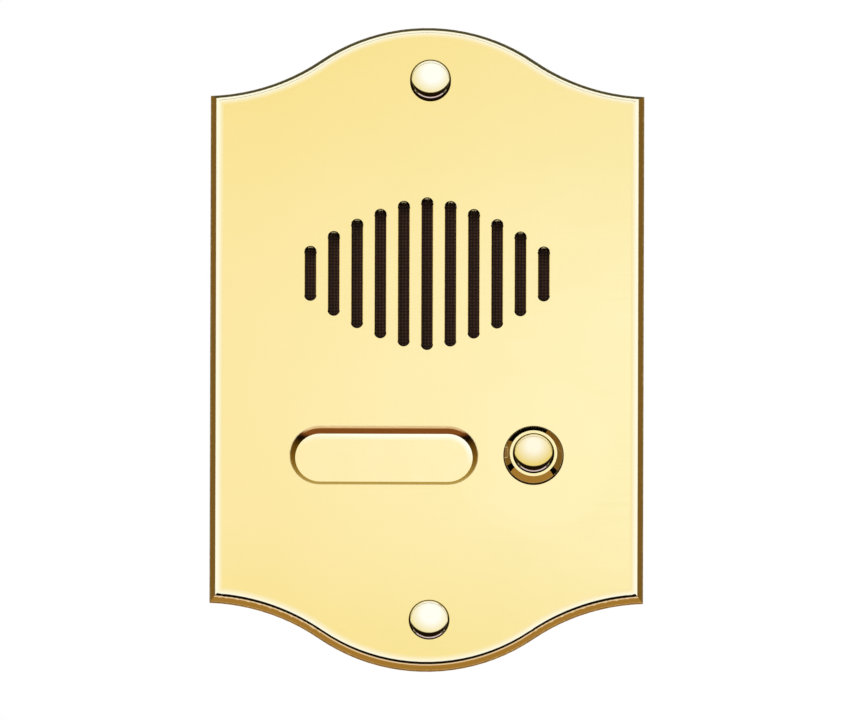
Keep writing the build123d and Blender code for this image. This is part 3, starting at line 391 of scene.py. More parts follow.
def dome_tint(axes, across, rise, reach, crown, flank):
    """Tint of the domes about some axes: a painted pale highlight on a crown that lies across and
    above the axis, yellower on the flanks. Painted shade lines the foot, a painted dark reflection
    lies in a crescent below the crown, and a painted pale reflection line lies between the two."""
    def tint(tree, place, clouds):
        rubbed = axis_gap(tree, place, axes, across, rise)
        rubbed = add(tree, "MapRange", {0: rubbed, 1: reach[0], 2: reach[1]})
        sides = add(tree, "Mix", {0: clouds, 6: flank[0], 7: flank[1]}, data_type="RGBA")
        # a painted pale highlight on the crown
        colour = add(tree, "Mix", {0: rubbed, 6: crown, 7: sides}, data_type="RGBA")
        edge = axis_gap(tree, place, axes)
        drop = axis_gap(tree, place, axes, 0, 1.4 * MM)
        below = add(tree, "MapRange", {0: drop, 1: 5.4 * MM, 2: 5.6 * MM})
        under = add(tree, "MapRange", {0: drop, 1: 6.1 * MM, 2: 6.4 * MM})
        line = add(tree, "MapRange", {0: edge, 1: 5.05 * MM, 2: 5.2 * MM})
        line = add(tree, "Math", {0: line, 1: under}, operation="MULTIPLY")
        # a painted pale reflection line between the foot and the crescent
        colour = add(tree, "Mix", {0: line, 6: colour, 7: "#F3E3D2"}, data_type="RGBA")
        above = add(tree, "MapRange", {0: edge, 1: 5.24 * MM, 2: 5.16 * MM})
        painted_dark_reflection = add(tree, "Math", {0: above, 1: below}, operation="MULTIPLY")
        # the painted shade at the foot reaches farther in above than below
        lowered = add(tree, "Math", {0: under, 1: -0.26 * MM, 2: edge}, operation="MULTIPLY_ADD")
        foot = add(tree, "MapRange", {0: lowered, 1: 5.12 * MM, 2: 5.22 * MM})
        painted_shading = add(tree, "Math", {0: foot, 1: painted_dark_reflection}, operation="MAXIMUM")
        dark = add(tree, "Mix", {0: below, 6: "#54470F", 7: "#1A0F03"}, data_type="RGBA")
        return add(tree, "Mix", {0: painted_shading, 6: colour, 7: dark}, data_type="RGBA"), painted_shading
    return tint


def bezel_tint(tree, place, clouds):
    """Pale gold with a painted shade line where the bezel meets the face, and a painted brown
    reflection in a spot at its foot on the side towards the name window."""
    x, z = middles("button_bezel")
    away = add(tree, "VectorMath", {0: place, 1: (x, 0, z + 0.6 * MM)}, operation="SUBTRACT")
    across, depth, up = add(tree, "SeparateXYZ", {0: away}).outputs
    level = add(tree, "Math", {0: up}, operation="ABSOLUTE")
    level = add(tree, "MapRange", {0: level, 1: 1.7 * MM, 2: 1.3 * MM})
    side = add(tree, "MapRange", {0: across, 1: -7.2 * MM, 2: -7.3 * MM})
    painted_brown_reflection = add(tree, "Math", {0: level, 1: side}, operation="MULTIPLY")
    # painted shade along the foot, where the bezel meets the face
    near = add(tree, "MapRange", {0: depth, 1: PLATE_FRONT - 0.78 * MM, 2: PLATE_FRONT - 0.72 * MM})
    front = add(tree, "MapRange", {0: depth, 1: PLATE_FRONT + 0.3 * MM, 2: PLATE_FRONT + 0.1 * MM})
    line = add(tree, "Math", {0: near, 1: front}, operation="MULTIPLY")
    gold = add(tree, "Mix", {0: clouds, 6: "#F5E09A", 7: "#FAE5A8"}, data_type="RGBA")
    colour = add(tree, "Mix", {0: painted_brown_reflection, 6: gold, 7: "#7E5F33"}, data_type="RGBA")
    painted_shading = add(tree, "Math", {0: line, 1: painted_brown_reflection}, operation="MAXIMUM")
    return add(tree, "Mix", {0: line, 6: colour, 7: "#2C1B06"}, data_type="RGBA"), painted_shading


def name_tint(tree, place, clouds):
    """Pale gold, with a painted highlight along the upper edge and the right end of the name plate."""
    across, up, reach = window_place(tree, place)
    rise = add(tree, "Math", {0: across, 1: 0.12, 2: up}, operation="MULTIPLY_ADD")
    upper = add(tree, "MapRange", {0: rise, 1: 0.5 * MM, 2: 5.5 * MM})
    edge = add(tree, "MapRange", {0: reach, 1: 4.9 * MM, 2: 6.8 * MM})
    painted_highlight = add(tree, "Math", {0: upper, 1: edge}, operation="MULTIPLY")
    gold = add(tree, "Mix", {0: clouds, 6: "#F8E3A2", 7: "#FBE7AE"}, data_type="RGBA")
    return add(tree, "Mix", {0: painted_highlight, 6: gold, 7: "#FFFAE2"}, data_type="RGBA"), None


# Finishes of the other pieces

def turned_brass():
    """Free-cutting brass straight from the lathe: deeper gold, fine tool rings along the bar."""
    material, tree, shader, place = finish("turned_brass", {"Metallic": 1.0})
    # tool rings of about 0.1 mm, drawn 0.3 mm apart to show
    cut = {"Vector": place, "Scale": WAVE / (0.3 * MM), "Distortion": 0.6, "Detail": 1.0}
    tool = add(tree, "TexWave", cut, bands_direction="Y").outputs["Fac"]
    clouds = add(tree, "TexNoise", {"Vector": place, "Scale": 1 / (3 * MM), "Detail": 4.0})
    dress(tree, shader, clouds, ("#C89D48", "#E3BF6C"), tool, (0.2, 0.32), WHOLE_SPAN, (0.2, 0.03 * MM))
    return material


def zinc_plated_steel():
    """Pressed steel with bright zinc: cool grey, with a faint yellow and blue bloom."""
    material, tree, shader, place = finish("zinc_plated_steel", {"Metallic": 1.0})
    bloom = add(tree, "TexNoise", {"Vector": place, "Scale": 1 / (5 * MM), "Detail": 3.0})
    # zinc grain of about 0.05 mm, drawn at 0.5 mm to show
    grain = add(tree, "TexNoise", {"Vector": place, "Scale": 1 / (0.5 * MM), "Detail": 3.0})
    dress(tree, shader, bloom, ("#AEB3BA", "#D6D2C4"), grain, (0.24, 0.38), bump=(0.15, 0.04 * MM))
    return material


def bright_zinc_fasteners():
    """Headed and turned steel under bright zinc: bluer, darker and smoother than the sheet, with
    fine tool marks."""
    material, tree, shader, place = finish("bright_zinc_fasteners", {"Metallic": 1.0})
    bloom = add(tree, "TexNoise", {"Vector": place, "Scale": 1 / (2 * MM), "Detail": 3.0})
    # tool marks of about 0.05 mm, drawn at 0.3 mm to show
    marks = add(tree, "TexNoise", {"Vector": place, "Scale": 1 / (0.3 * MM), "Detail": 2.0})
    dress(tree, shader, bloom, ("#6F7784", "#9EA3AA"), marks, (0.14, 0.26))
    return material


def punched_washer_brass():
    """Washers punched from brass strip: browner and duller than the turned nuts, with rolling
    streaks along X."""
    material, tree, shader, place = finish("punched_washer_brass", {"Metallic": 1.0})
    # streaks of about 0.05 mm, drawn 0.3 mm wide to show
    along = add(tree, "Mapping", {"Vector": place, "Scale": (1 / (3 * MM), 1 / MM, 1 / (0.3 * MM))})
    streak = add(tree, "TexNoise", {"Vector": along, "Scale": 1.0, "Detail": 3.0})
    dress(tree, shader, streak, ("#8F6A2C", "#B78C45"), streak, (0.28, 0.42))
    return material


def spring_wire():
    """Hard-drawn steel wire: mid grey and bright, with faint die lines."""
    material, tree, shader, place = finish("spring_wire", {"Metallic": 1.0})
    # die lines of about 0.02 mm, drawn 0.25 mm wide to show
    lines = add(tree, "TexNoise", {"Vector": place, "Scale": 1 / (0.25 * MM), "Detail": 2.0})
    dress(tree, shader, lines, ("#8C8F94", "#B9BBBE"), lines, (0.18, 0.32))
    return material


def rolled_bronze():
    """Phosphor bronze strip: warm orange brown with rolling streaks along X."""
    material, tree, shader, place = finish("rolled_bronze", {"Metallic": 1.0})
    # streaks of about 0.05 mm, drawn 0.2 mm wide to show
    along = add(tree, "Mapping", {"Vector": place, "Scale": (1 / (4 * MM), 1 / MM, 1 / (0.2 * MM))})
    streak = add(tree, "TexNoise", {"Vector": along, "Scale": 1.0, "Detail": 3.0})
    dress(tree, shader, streak, ("#B4733D", "#D99B5E"), streak, (0.18, 0.3))
    return material


def black_phenolic():
    """Compression-moulded phenolic: brown black, glossy, with faint flow marks and filler specks."""
    material, tree, shader, place = finish("black_phenolic", {"IOR": 1.6})
    swirl = {"Vector": place, "Scale": 1 / (4 * MM), "Detail": 5.0, "Distortion": 1.5}
    flow = add(tree, "TexNoise", swirl)
    # specks of about 0.1 mm, drawn at 0.6 mm to show
    speck = add(tree, "TexVoronoi", {"Vector": place, "Scale": 1 / (0.6 * MM)})
    tones = ("#17120F", "#2C211B")
    dress(tree, shader, flow, tones, flow, (0.22, 0.36), bump=(0.12, 0.03 * MM), relief=speck)
    return material


def natural_nylon():
    """Turned nylon bar: milky cream with soft tool rings."""
    material, tree, shader, place = finish("natural_nylon", {"IOR": 1.53, "Subsurface Weight": 0.15})
    milk = add(tree, "TexNoise", {"Vector": place, "Scale": 1 / (2.5 * MM), "Detail": 3.0})
    # tool rings of about 0.1 mm, drawn 0.35 mm apart to show
    cut = {"Vector": place, "Scale": WAVE / (0.35 * MM)}
    tool = add(tree, "TexWave", cut, bands_direction="Y").outputs["Fac"]
    dress(tree, shader, milk, ("#DED7C2", "#EFEADB"), tool, (0.38, 0.5), WHOLE_SPAN, (0.2, 0.03 * MM))
    return material


def grained_case_plastic():
    """Injection-moulded ABS from a spark-eroded mould: charcoal, with an even fine grain."""
    material, tree, shader, place = finish("grained_case_plastic", {"IOR": 1.54})
    # spark grain of about 0.1 mm, drawn at 0.45 mm to show
    grain = add(tree, "TexNoise", {"Vector": place, "Scale": 1 / (0.45 * MM), "Detail": 3.0})
    tone = add(tree, "TexNoise", {"Vector": place, "Scale": 1 / (18 * MM), "Detail": 2.0})
    dress(tree, shader, tone, ("#2E2F31", "#3A3B3D"), grain, (0.42, 0.6), bump=(0.3, 0.08 * MM))
    return material


def crossed_threads(tree, place, spacing):
    """Height of a plain weave: the product of two waves, across and up, a thread spacing apart."""
    thread = {"Vector": place, "Scale": WAVE / spacing}
    warp = add(tree, "TexWave", thread, bands_direction="X").outputs["Fac"]
    weft = add(tree, "TexWave", thread, bands_direction="Z").outputs["Fac"]
    return add(tree, "Math", {0: warp, 1: weft}, operation="MULTIPLY")


def woven_grille_cloth():
    """Plain-woven polyester grille cloth: dark brown, matt, with a fine crossing weave."""
    material, tree, shader, place = finish("woven_grille_cloth", {"Specular IOR Level": 0.2})
    # threads lie about 0.3 mm apart; drawn 0.9 mm apart to show
    weave = crossed_threads(tree, place, 0.9 * MM)
    fluff = add(tree, "TexNoise", {"Vector": place, "Scale": 1 / (0.5 * MM), "Detail": 3.0})
    thread = add(tree, "Mix", {0: fluff, 6: "#4E3528", 7: "#664A39"}, data_type="RGBA")
    dress(tree, shader, weave, ("#2C1D16", thread), fluff, (0.8, 0.95), WHOLE_SPAN, (0.6, 0.15 * MM), weave)
    return material


def closed_cell_foam():
    """Closed-cell foam, cut from sheet: charcoal, matt, with small round cells."""
    material, tree, shader, place = finish(
        "closed_cell_foam", {"Sheen Weight": 0.15, "Sheen Roughness": 0.6})
    cells = add(tree, "TexVoronoi", {"Vector": place, "Scale": 1 / (0.6 * MM)})
    dress(tree, shader, cells, ("#1F1F20", "#3C3C3D"), cells, (0.85, 0.97), WHOLE_SPAN, (0.5, 0.2 * MM))
    return material


def soft_rubber():
    """Moulded rubber: soot black, with a dull skin and a trace of bloom."""
    material, tree, shader, place = finish("soft_rubber", {"IOR": 1.52})
    bloom = add(tree, "TexNoise", {"Vector": place, "Scale": 1 / (1.5 * MM), "Detail": 5.0})
    dress(tree, shader, bloom, ("#161616", "#2A2A2B"), bloom, (0.6, 0.8), bump=(0.15, 0.05 * MM))
    return material


def pressed_cone_paper():
    """Felted paper pulp: dark grey brown, matt, with short fibres."""
    material, tree, shader, place = finish("pressed_cone_paper", {"Specular IOR Level": 0.25})
    pulp = {"Vector": place, "Scale": 1 / (0.8 * MM), "Detail": 6.0, "Distortion": 2.5}
    fibre = add(tree, "TexNoise", pulp)
    dress(tree, shader, fibre, ("#2B2622", "#4F4740"), fibre, (0.8, 0.95), WHOLE_SPAN, (0.4, 0.08 * MM))
    return material


def ground_ferrite():
    """Sintered ferrite, ground on its faces: dark grey with a fine bright grit."""
    material, tree, shader, place = finish("ground_ferrite", {"IOR": 2.3})
    # grit of about 0.02 mm, drawn at 0.4 mm to show
    grit = add(tree, "TexVoronoi", {"Vector": place, "Scale": 1 / (0.4 * MM)})
    dress(tree, shader, grit, ("#2B2B2D", "#4A4A4D"), grit, (0.42, 0.62), WHOLE_SPAN, (0.2, 0.05 * MM))
    return material


def drawn_aluminium():
    """Deep-drawn aluminium can: pale grey with drawing lines along its depth."""
    material, tree, shader, place = finish("drawn_aluminium", {"Metallic": 1.0})
    # lines of about 0.05 mm, drawn 0.3 mm wide to show
    fine = 1 / (0.3 * MM)
    along = add(tree, "Mapping", {"Vector": place, "Scale": (fine, 1 / (5 * MM), fine)})
    lines = add(tree, "TexNoise", {"Vector": along, "Scale": 1.0, "Detail": 3.0})
    dress(tree, shader, lines, ("#BFC1C3", "#DCDDDE"), lines, (0.22, 0.36))
    return material


def resist_on_laminate():
    """Glass-cloth laminate under green solder resist: glossy green with the cloth faintly showing."""
    material, tree, shader, place = finish("resist_on_laminate", {"IOR": 1.55, "Coat Weight": 0.4})
    cloth = crossed_threads(tree, place, 0.8 * MM)
    dress(tree, shader, cloth, ("#1B5A36", "#2A7247"), cloth, (0.28, 0.4), WHOLE_SPAN, (0.1, 0.03 * MM))
    return material


def moulded_terminal_nylon():
    """Glass-filled nylon: slate grey, satin, with a cloudy skin."""
    material, tree, shader, place = finish("moulded_terminal_nylon", {"IOR": 1.53})
    skin = add(tree, "TexNoise", {"Vector": place, "Scale": 1 / (1.2 * MM), "Detail": 5.0})
    dress(tree, shader, skin, ("#6B7176", "#868C90"), skin, (0.4, 0.55), bump=(0.15, 0.05 * MM))
    return material


# painted shade and reflection on the window's walls, from the bottom of the window to its top
WINDOW_PAINTED_SHADING = [(0.02, "#A89046"), (0.2, "#9C8038"), (0.45, "#7A5A1C"), (0.68, "#5E400E"),
                 (0.80, "#1A0E04"), (0.84, "#241206"), (0.90, "#8C5324")]
# the first tone is the painted highlight on the crown, the pair after it the flanks' own gold
CAP_TINT = dome_tint(cap_axes(), 0.5 * MM, 1.2 * MM, (2.5 * MM, 5.8 * MM), "#FFFAEA", ("#EDD98E", "#F4E2A2"))
BUTTON_TINT = dome_tint([middles("push_button")], 0.0, 1.7 * MM, (1.8 * MM, 5.3 * MM), "#FFF4D8",
                        ("#E8CC72", "#EFD682"))
LATHE_BRASS = turned_brass()
SPRING = spring_wire()
CLOTH = woven_grille_cloth()
FOAM = closed_cell_foam()

FINISHES = {
    polished_plate_brass(): ["face_plate"],
    buffed_brass("polished_cap_brass", CAP_TINT, 0.05): ["screw_caps"],
    buffed_brass("polished_button_brass", BUTTON_TINT, 0.05): ["push_button"],
    buffed_brass("polished_bezel_brass", bezel_tint, 0.015): ["button_bezel"],
    buffed_brass("polished_name_brass", name_tint, 0.05): ["name_plate"],
    LATHE_BRASS: ["bezel_nut", "terminal_nuts"],
    punched_washer_brass(): ["terminal_washers"],
    zinc_plated_steel(): ["name_plate_holder", "bezel_washer", "speaker_frame"],
    bright_zinc_fasteners(): ["stud_nuts", "contact_cover_screws", "cover_screws", "terminal_block_screws"],
    SPRING: ["bridge_clip"],
    rolled_bronze(): ["contact_bridge"],
    black_phenolic(): ["contact_block", "contact_cover"],
    natural_nylon(): ["button_stem"],
    grained_case_plastic(): ["speech_case", "speech_cover"],
    pressed_cone_paper(): ["speaker_cone"],
    ground_ferrite(): ["speaker_magnet"],
    soft_rubber(): ["microphone_boot"],
    drawn_aluminium(): ["microphone"],
    resist_on_laminate(): ["circuit_board"],
    moulded_terminal_nylon(): ["terminal_block"],
}
for material, names in FINISHES.items():
    for name in names:
        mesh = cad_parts[name].data
        mesh.materials.clear()
        mesh.materials.append(material)


# Screws, studs and spring with their real threads and coils

def places(node, radius):
    """Middles of the round pieces at the low and high ends of a node's box: the corners of
    the box, moved in by the radius of the piece."""
    low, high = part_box(node)
    return low[0] + radius, high[0] - radius, low[2] + radius, high[2] - radius


def threaded_fixing_screws():
    """Countersunk screws: tapped hole, flat head, cone, plain neck and a thread of 0.7 mm pitch."""
    head, neck, shank, hole = 4.2 * MM, 2.15 * MM, 2.0 * MM, 1.25 * MM
    neck_end, pitch, tip = 0.6 * MM, 0.7 * MM, 0.6 * MM
    low_x, high_x, low_z, high_z = places("fixing_screws", head)
    middle = (low_x + high_x) / 2
    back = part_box("fixing_screws")[1][1]
    bottom = PLATE_FRONT + 5 * MM
    cone_end = PLATE_FRONT + head - neck
    screw = rings(
        ([0, hole, hole, head, neck, neck, shank],
         [bottom, bottom, PLATE_FRONT, PLATE_FRONT, cone_end, neck_end, neck_end]),
        threaded(shank, neck_end, back, pitch, tip),
        ([0], [back]),
    )
    grids = [spun(*screw, middle, z) for z in (low_z, high_z)]
    return piece("threaded_fixing_screws", grids, LATHE_BRASS, "panel", "fixing_screws")


def threaded_plate_studs():
    """Studs set in the back of the plate: a thread of 0.5 mm pitch and a chamfered end."""
    radius, pitch, tip = 1.5 * MM, 0.5 * MM, 0.4 * MM
    low_x, high_x, _, high_z = places("plate_studs", radius)
    holder = middles("name_plate_holder")[0]
    holder_low, holder_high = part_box("name_plate_holder")
    tab = 4.5 * MM
    at = [(low_x, high_z), (high_x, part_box("speech_case")[0][2] + tab),
          (holder, holder_high[2] - tab), (holder, holder_low[2] + tab)]
    front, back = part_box("plate_studs")[0][1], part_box("plate_studs")[1][1]
    stud = rings(([0, radius], [front, front]), threaded(radius, front, back, pitch, tip), ([0], [back]))
    grids = [spun(*stud, x, z) for x, z in at]
    return piece("threaded_plate_studs", grids, LATHE_BRASS, "panel", "plate_studs")


def threaded_contact_studs():
    """Fixed contacts: a flat head with a softened rim, and a tail with a thread of 0.45 mm pitch."""
    head, tail, soft = 1.8 * MM, 1.25 * MM, 0.15 * MM
    pitch, tip = 0.45 * MM, 0.35 * MM
    low_x, high_x, low_z, _ = places("contact_studs", head)
    front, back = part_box("contact_studs")[0][1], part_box("contact_studs")[1][1]
    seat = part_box("contact_cover")[0][1]
    stud = rings(
        ([0, head - soft, head, head, tail], [front, front, front + soft, seat, seat]),
        threaded(tail, seat, back, pitch, tip),
        ([0], [back]),
    )
    grids = [spun(*stud, x, low_z) for x in (low_x, high_x)]
    return piece("threaded_contact_studs", grids, LATHE_BRASS, "panel", "contact_studs")


def coiled_return_spring():
    """Round wire on a helix whose pitch closes up at both ends. Depth along the coil is the
    running sum of the pitch, and each ring of wire stands across the helix."""
    low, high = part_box("return_spring")
    x, z = middles("return_spring")
    radius, turns, sides, steps = 0.3 * MM, 8, 14, 48
    flat_turns, least_pitch = 0.6, 0.0002
    coil = (high[0] - low[0]) / 2 - radius
    t = np.linspace(0, turns, steps * turns + 1)
    ease = np.clip(np.minimum(t, turns - t) - flat_turns, 0, 1)
    pitch = least_pitch + ease * ease * (3 - 2 * ease)
    run = np.concatenate([[0], np.cumsum((pitch[1:] + pitch[:-1]) / 2)])
    # the end turns lie flat, one wire apart from the next
    wire_apart = 2.05 * radius
    closed = wire_apart * np.clip(t, 0, 1) + wire_apart * np.clip(t - turns + 1, 0, 1)
    free = (high[1] - low[1]) - 2 * radius - 2 * wire_apart
    depth = low[1] + radius + closed + free * run / run[-1]
    angle = TURN * t
    out = np.stack([np.cos(angle), 0 * t, np.sin(angle)], axis=-1)
    line = np.stack([x + coil * np.cos(angle), depth, z + coil * np.sin(angle)], axis=-1)
    ahead = np.gradient(line, axis=0)
    ahead /= np.linalg.norm(ahead, axis=1, keepdims=True)
    side = np.cross(ahead, out)
    ring = np.linspace(0, TURN, sides, endpoint=False)[:, None]
    tube = line[:, None] + radius * (np.cos(ring) * out[:, None] + np.sin(ring) * side[:, None])
    caps = [np.repeat(line[i][None, None], sides, axis=1) for i in (0, -1)]
    grid = np.concatenate([caps[0], tube, caps[1]])
    obj = piece("coiled_return_spring", [grid], SPRING, "panel", "return_spring")
    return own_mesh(obj)


threaded_fixing_screws()
threaded_plate_studs()
threaded_contact_studs()
coiled_return_spring()


# Soft pieces

def stretched_grille_cloth():
    """Cloth stretched over the mouth of the speech case: a flat grid whose rows draw in at the
    corners by a quarter circle, with a shallow sag of two half waves, given its thickness."""
    low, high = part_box("grille_cloth")
    thickness, corner, deepest, clear = 0.3 * MM, 2 * MM, 0.12 * MM, 0.02 * MM
    half_x, half_z = (high[0] - low[0]) / 2, (high[2] - low[2]) / 2
    u, v = np.meshgrid(np.linspace(-1, 1, 91), np.linspace(-1, 1, 63))
    over = np.clip(np.abs(v) * half_z - (half_z - corner), 0, corner)
    inset = corner - np.sqrt(corner ** 2 - over ** 2)
    x = (low[0] + high[0]) / 2 + u * (half_x - inset)
    z = (low[2] + high[2]) / 2 + v * half_z
    sag = deepest * np.cos(u * np.pi / 2) * np.cos(v * np.pi / 2)
    y = low[1] + clear + sag
    points = np.stack([x, y, z], axis=-1).reshape(-1, 3)
    rows, columns = u.shape
    r = np.arange(rows - 1)[:, None] * columns
    c = np.arange(columns - 1)[None, :]
    quads = np.stack([r + c, r + c + 1, r + columns + c + 1, r + columns + c], axis=-1).reshape(-1, 4)
    mesh = bpy.data.meshes.new("stretched_grille_cloth")
    mesh.from_pydata(points, [], quads.tolist())
    mesh.shade_smooth()
    mesh.materials.append(CLOTH)
    obj = bpy.data.objects.new("stretched_grille_cloth", mesh)
    bpy.context.collection.objects.link(obj)
    wall = obj.modifiers.new("cloth_thickness", "SOLIDIFY")
    wall.thickness = thickness
    wall.offset = -1.0
    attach(obj, "panel")
    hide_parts("grille_cloth")
    return obj


def pressed_foam(name, node, inner, bulge):
    """A foam ring or pad pressed between two faces: its walls swell by a half ellipse."""
    low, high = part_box(node)
    x, z = middles(node)
    outer = (high[0] - low[0]) / 2 - bulge
    t = np.linspace(0, 1, 11)
    swell = bulge * np.sqrt(np.clip(1 - (2 * t - 1) ** 2, 0, 1))
    depth = low[1] + (high[1] - low[1]) * t
    if inner:
        wall = np.concatenate([outer + swell, (inner - swell)[::-1], outer + swell[:1]])
        run = np.concatenate([depth, depth[::-1], depth[:1]])
    else:
        wall = np.concatenate([[0], outer + swell, [0]])
        run = np.concatenate([depth[:1], depth, depth[-1:]])
    obj = piece(name, [spun(wall, run, x, z, columns=96)], FOAM, "panel", node)
    return obj


GASKET_INSIDE = 21.6 * MM
stretched_grille_cloth()
pressed_foam("foam_speaker_gasket", "speaker_gasket", GASKET_INSIDE, 0.1 * MM)
pressed_foam("foam_speaker_pad", "speaker_pad", 0, 0.15 * MM)


# Camera: the photograph looks up at the panel from 15 degrees below, without perspective

VIEW_LIFT = np.radians(15)
VIEW_ROLL = np.radians(0.16)
PIXEL = 0.2768 * MM
PICTURE_WIDTH = 867
# middle of the picture, in pixels right of and below the middle of the panel
MIDDLE_RIGHT, MIDDLE_BELOW = 6.6, 10.05
CAMERA_DISTANCE = 0.8
SIGHT = np.array([0.0, np.cos(VIEW_LIFT), np.sin(VIEW_LIFT)])


def viewpoint():
    """Level axes tilted up by the view angle, turned by the small roll of the picture."""
    ahead = Vector(SIGHT)
    up = Vector((0, -np.sin(VIEW_LIFT), np.cos(VIEW_LIFT)))
    right = Vector((1, 0, 0))
    right, up = (right * np.cos(VIEW_ROLL) + up * np.sin(VIEW_ROLL),
                 up * np.cos(VIEW_ROLL) - right * np.sin(VIEW_ROLL))
    target = right * MIDDLE_RIGHT * PIXEL - up * MIDDLE_BELOW * PIXEL
    camera = bpy.data.cameras.new("camera")
    camera.type = "ORTHO"
    camera.ortho_scale = PICTURE_WIDTH * PIXEL
    camera.clip_start = 0.01
    obj = bpy.data.objects.new("camera", camera)
    bpy.context.collection.objects.link(obj)
    turn = Matrix((right, up, -ahead)).transposed().to_4x4()
    obj.matrix_world = Matrix.Translation(target - ahead * CAMERA_DISTANCE) @ turn
    bpy.context.scene.camera = obj


viewpoint()


# Studio: white surround, soft lamps, a pale floor, and cards that only the metal sees

WHITE, BLACK, SMOKE = (1.02, 1.05, 1.08, 1), (0.002, 0.002, 0.001, 1), (0.07, 0.075, 0.06, 1)
BROWN, DEEP, WARM = linear("#7C6339"), linear("#A8854E"), (0.85, 0.75, 0.90, 1)
TENT_RADIUS, FRAME_RADIUS, CARD_DISTANCE = 4.0, 3.9, 2.5
# lean at which the bezel's cone mirrors the frame, and where the side shells and the others end
FRAME_LEAN, SIDE_LEAN, FAR_LEAN = 46.2, 68, 76
# name, first and last clock angle, width in degrees of lean, tone
FRAME_PARTS = [("top", -60, 30, 1.6, BLACK), ("right", 30, 125, 1.5, BROWN),
               ("right_mark", 125, 137, 1.5, BLACK), ("low", 137, 232, 1.0, DEEP),
               ("left_mark", 232, 246, 1.5, BLACK), ("left", 246, 300, 1.5, BROWN)]
BLACK_TO_BROWN = [(0.0, BLACK), (0.57, BLACK), (0.63, BROWN), (1.0, BROWN)]
FLOOR_LEVEL, FLOOR_REACH, FLOOR_LIFT = -0.45, 3.0, 0.38
LAMP_SIZE = 0.9


def glowing(name, grid, tone, stops=()):
    """A stage piece that only mirrors see. Its colour is plain, or runs over the second side of
    the grid in stops of (share of the way, colour)."""
    rows, columns = grid.shape[:2]
    mesh = bpy.data.meshes.new(name)
    here = np.arange(rows * columns).reshape(rows, columns)
    faces = np.stack([here[:-1, :-1], here[1:, :-1], here[1:, 1:], here[:-1, 1:]], axis=-1)
    mesh.from_pydata(grid.reshape(-1, 3), [], faces.reshape(-1, 4))
    share = np.broadcast_to(np.linspace(0, 1, columns), (rows, columns)).reshape(-1)
    corners = np.zeros((faces.size, 2), np.float32)
    corners[:, 0] = share[faces.reshape(-1)]
    mesh.uv_layers.new(name="share").data.foreach_set("uv", corners.reshape(-1))
    obj = bpy.data.objects.new(name, mesh)
    bpy.context.collection.objects.link(obj)
    material = bpy.data.materials.new(name)
    material.use_nodes = True
    tree = material.node_tree
    tree.nodes.remove(tree.nodes["Principled BSDF"])
    glow = add(tree, "Emission", {"Color": tone, "Strength": 1.0})
    wire(tree, tree.nodes["Material Output"], {"Surface": glow})
    if stops:
        along = add(tree, "SeparateXYZ", {0: add(tree, "TexCoord").outputs["UV"]}).outputs[0]
        wire(tree, glow, {"Color": add(tree, "ValToRGB", {0: along}, stops=stops)})
    mesh.materials.append(material)
    obj.visible_camera = False
    obj.visible_diffuse = False
    obj.visible_shadow = False
    obj.visible_transmission = False
    return obj, tree, glow


def mirrored(lean, turn):
    """Direction in which a polished surface sends the camera's line. The surface leans from
    facing the front, towards a clock angle (0 is up, 90 is right): r = d - 2 (d . n) n."""
    lean, turn = np.radians(lean), np.radians(turn)
    normal = np.stack([np.sin(lean) * np.sin(turn), -np.cos(lean), np.sin(lean) * np.cos(turn)], axis=-1)
    return SIGHT - 2 * (normal @ SIGHT)[..., None] * normal


def shell(name, turn, inner, outer, tone, stops=()):
    """A piece of the tent over two clock angles and from an inner to an outer lean.
    A lean may be a number or a function of the clock angle."""
    clock, share = np.meshgrid(np.linspace(*turn, 121), np.linspace(0, 1, 33), indexing="ij")
    low, high = (edge(clock) if callable(edge) else edge for edge in (inner, outer))
    glowing(name, TENT_RADIUS * mirrored(low + share * (high - low), clock), tone, stops)


def rim(clock):
    """Lean at which the white tent ends, a little farther out above than round the rest."""
    return 45.0 + 1.5 * np.clip(np.cos(np.radians(clock)), 0, 1)


def bezel_frame():
    """A narrow dark frame in front of the tent, laid where the cone of the bezel mirrors it: black
    above, brown round the rest with two black marks. A line that would go behind the panel is
    folded to the front."""
    for name, first, last, width, tone in FRAME_PARTS:
        share, clock = np.meshgrid(np.linspace(-0.5, 0.5, 5), np.linspace(first, last, last - first + 1))
        line = mirrored(FRAME_LEAN + width * share, clock)
        line[..., 1] = -np.abs(line[..., 1])
        glowing("frame_" + name, FRAME_RADIUS * line, tone)


def face_card():
    """Small far card that the flat face mirrors: warmer to the left and the ends, whiter to the
    right and in the middle."""
    across, up = np.meshgrid(np.linspace(-0.09, 0.09, 2), np.linspace(0.54, 0.80, 2), indexing="ij")
    card = np.stack([across, np.full_like(up, -CARD_DISTANCE), up], axis=-1)
    _, tree, glow = glowing("face_card", card, WHITE)
    place = add(tree, "SeparateXYZ", {0: add(tree, "TexCoord").outputs["Object"]}).outputs
    side = add(tree, "MapRange", {0: place[0], 1: -0.06, 2: 0.06})
    top = add(tree, "MapRange", {0: place[2], 1: 0.685, 2: 0.755})
    bottom = add(tree, "MapRange", {0: place[2], 1: 0.618, 2: 0.58})
    end = add(tree, "Math", {0: top, 1: bottom}, operation="MAXIMUM")
    middle = {0: side, 6: (1.05, 1.06, 1.06, 1), 7: (1.075, 1.19, 1.46, 1)}
    middle = add(tree, "Mix", middle, data_type="RGBA")
    ends = {0: side, 6: (1.0, 0.96, 0.66, 1), 7: (1.015, 1.035, 0.95, 1)}
    ends = add(tree, "Mix", ends, data_type="RGBA")
    wire(tree, glow, {"Color": add(tree, "Mix", {0: end, 6: middle, 7: ends}, data_type="RGBA")})


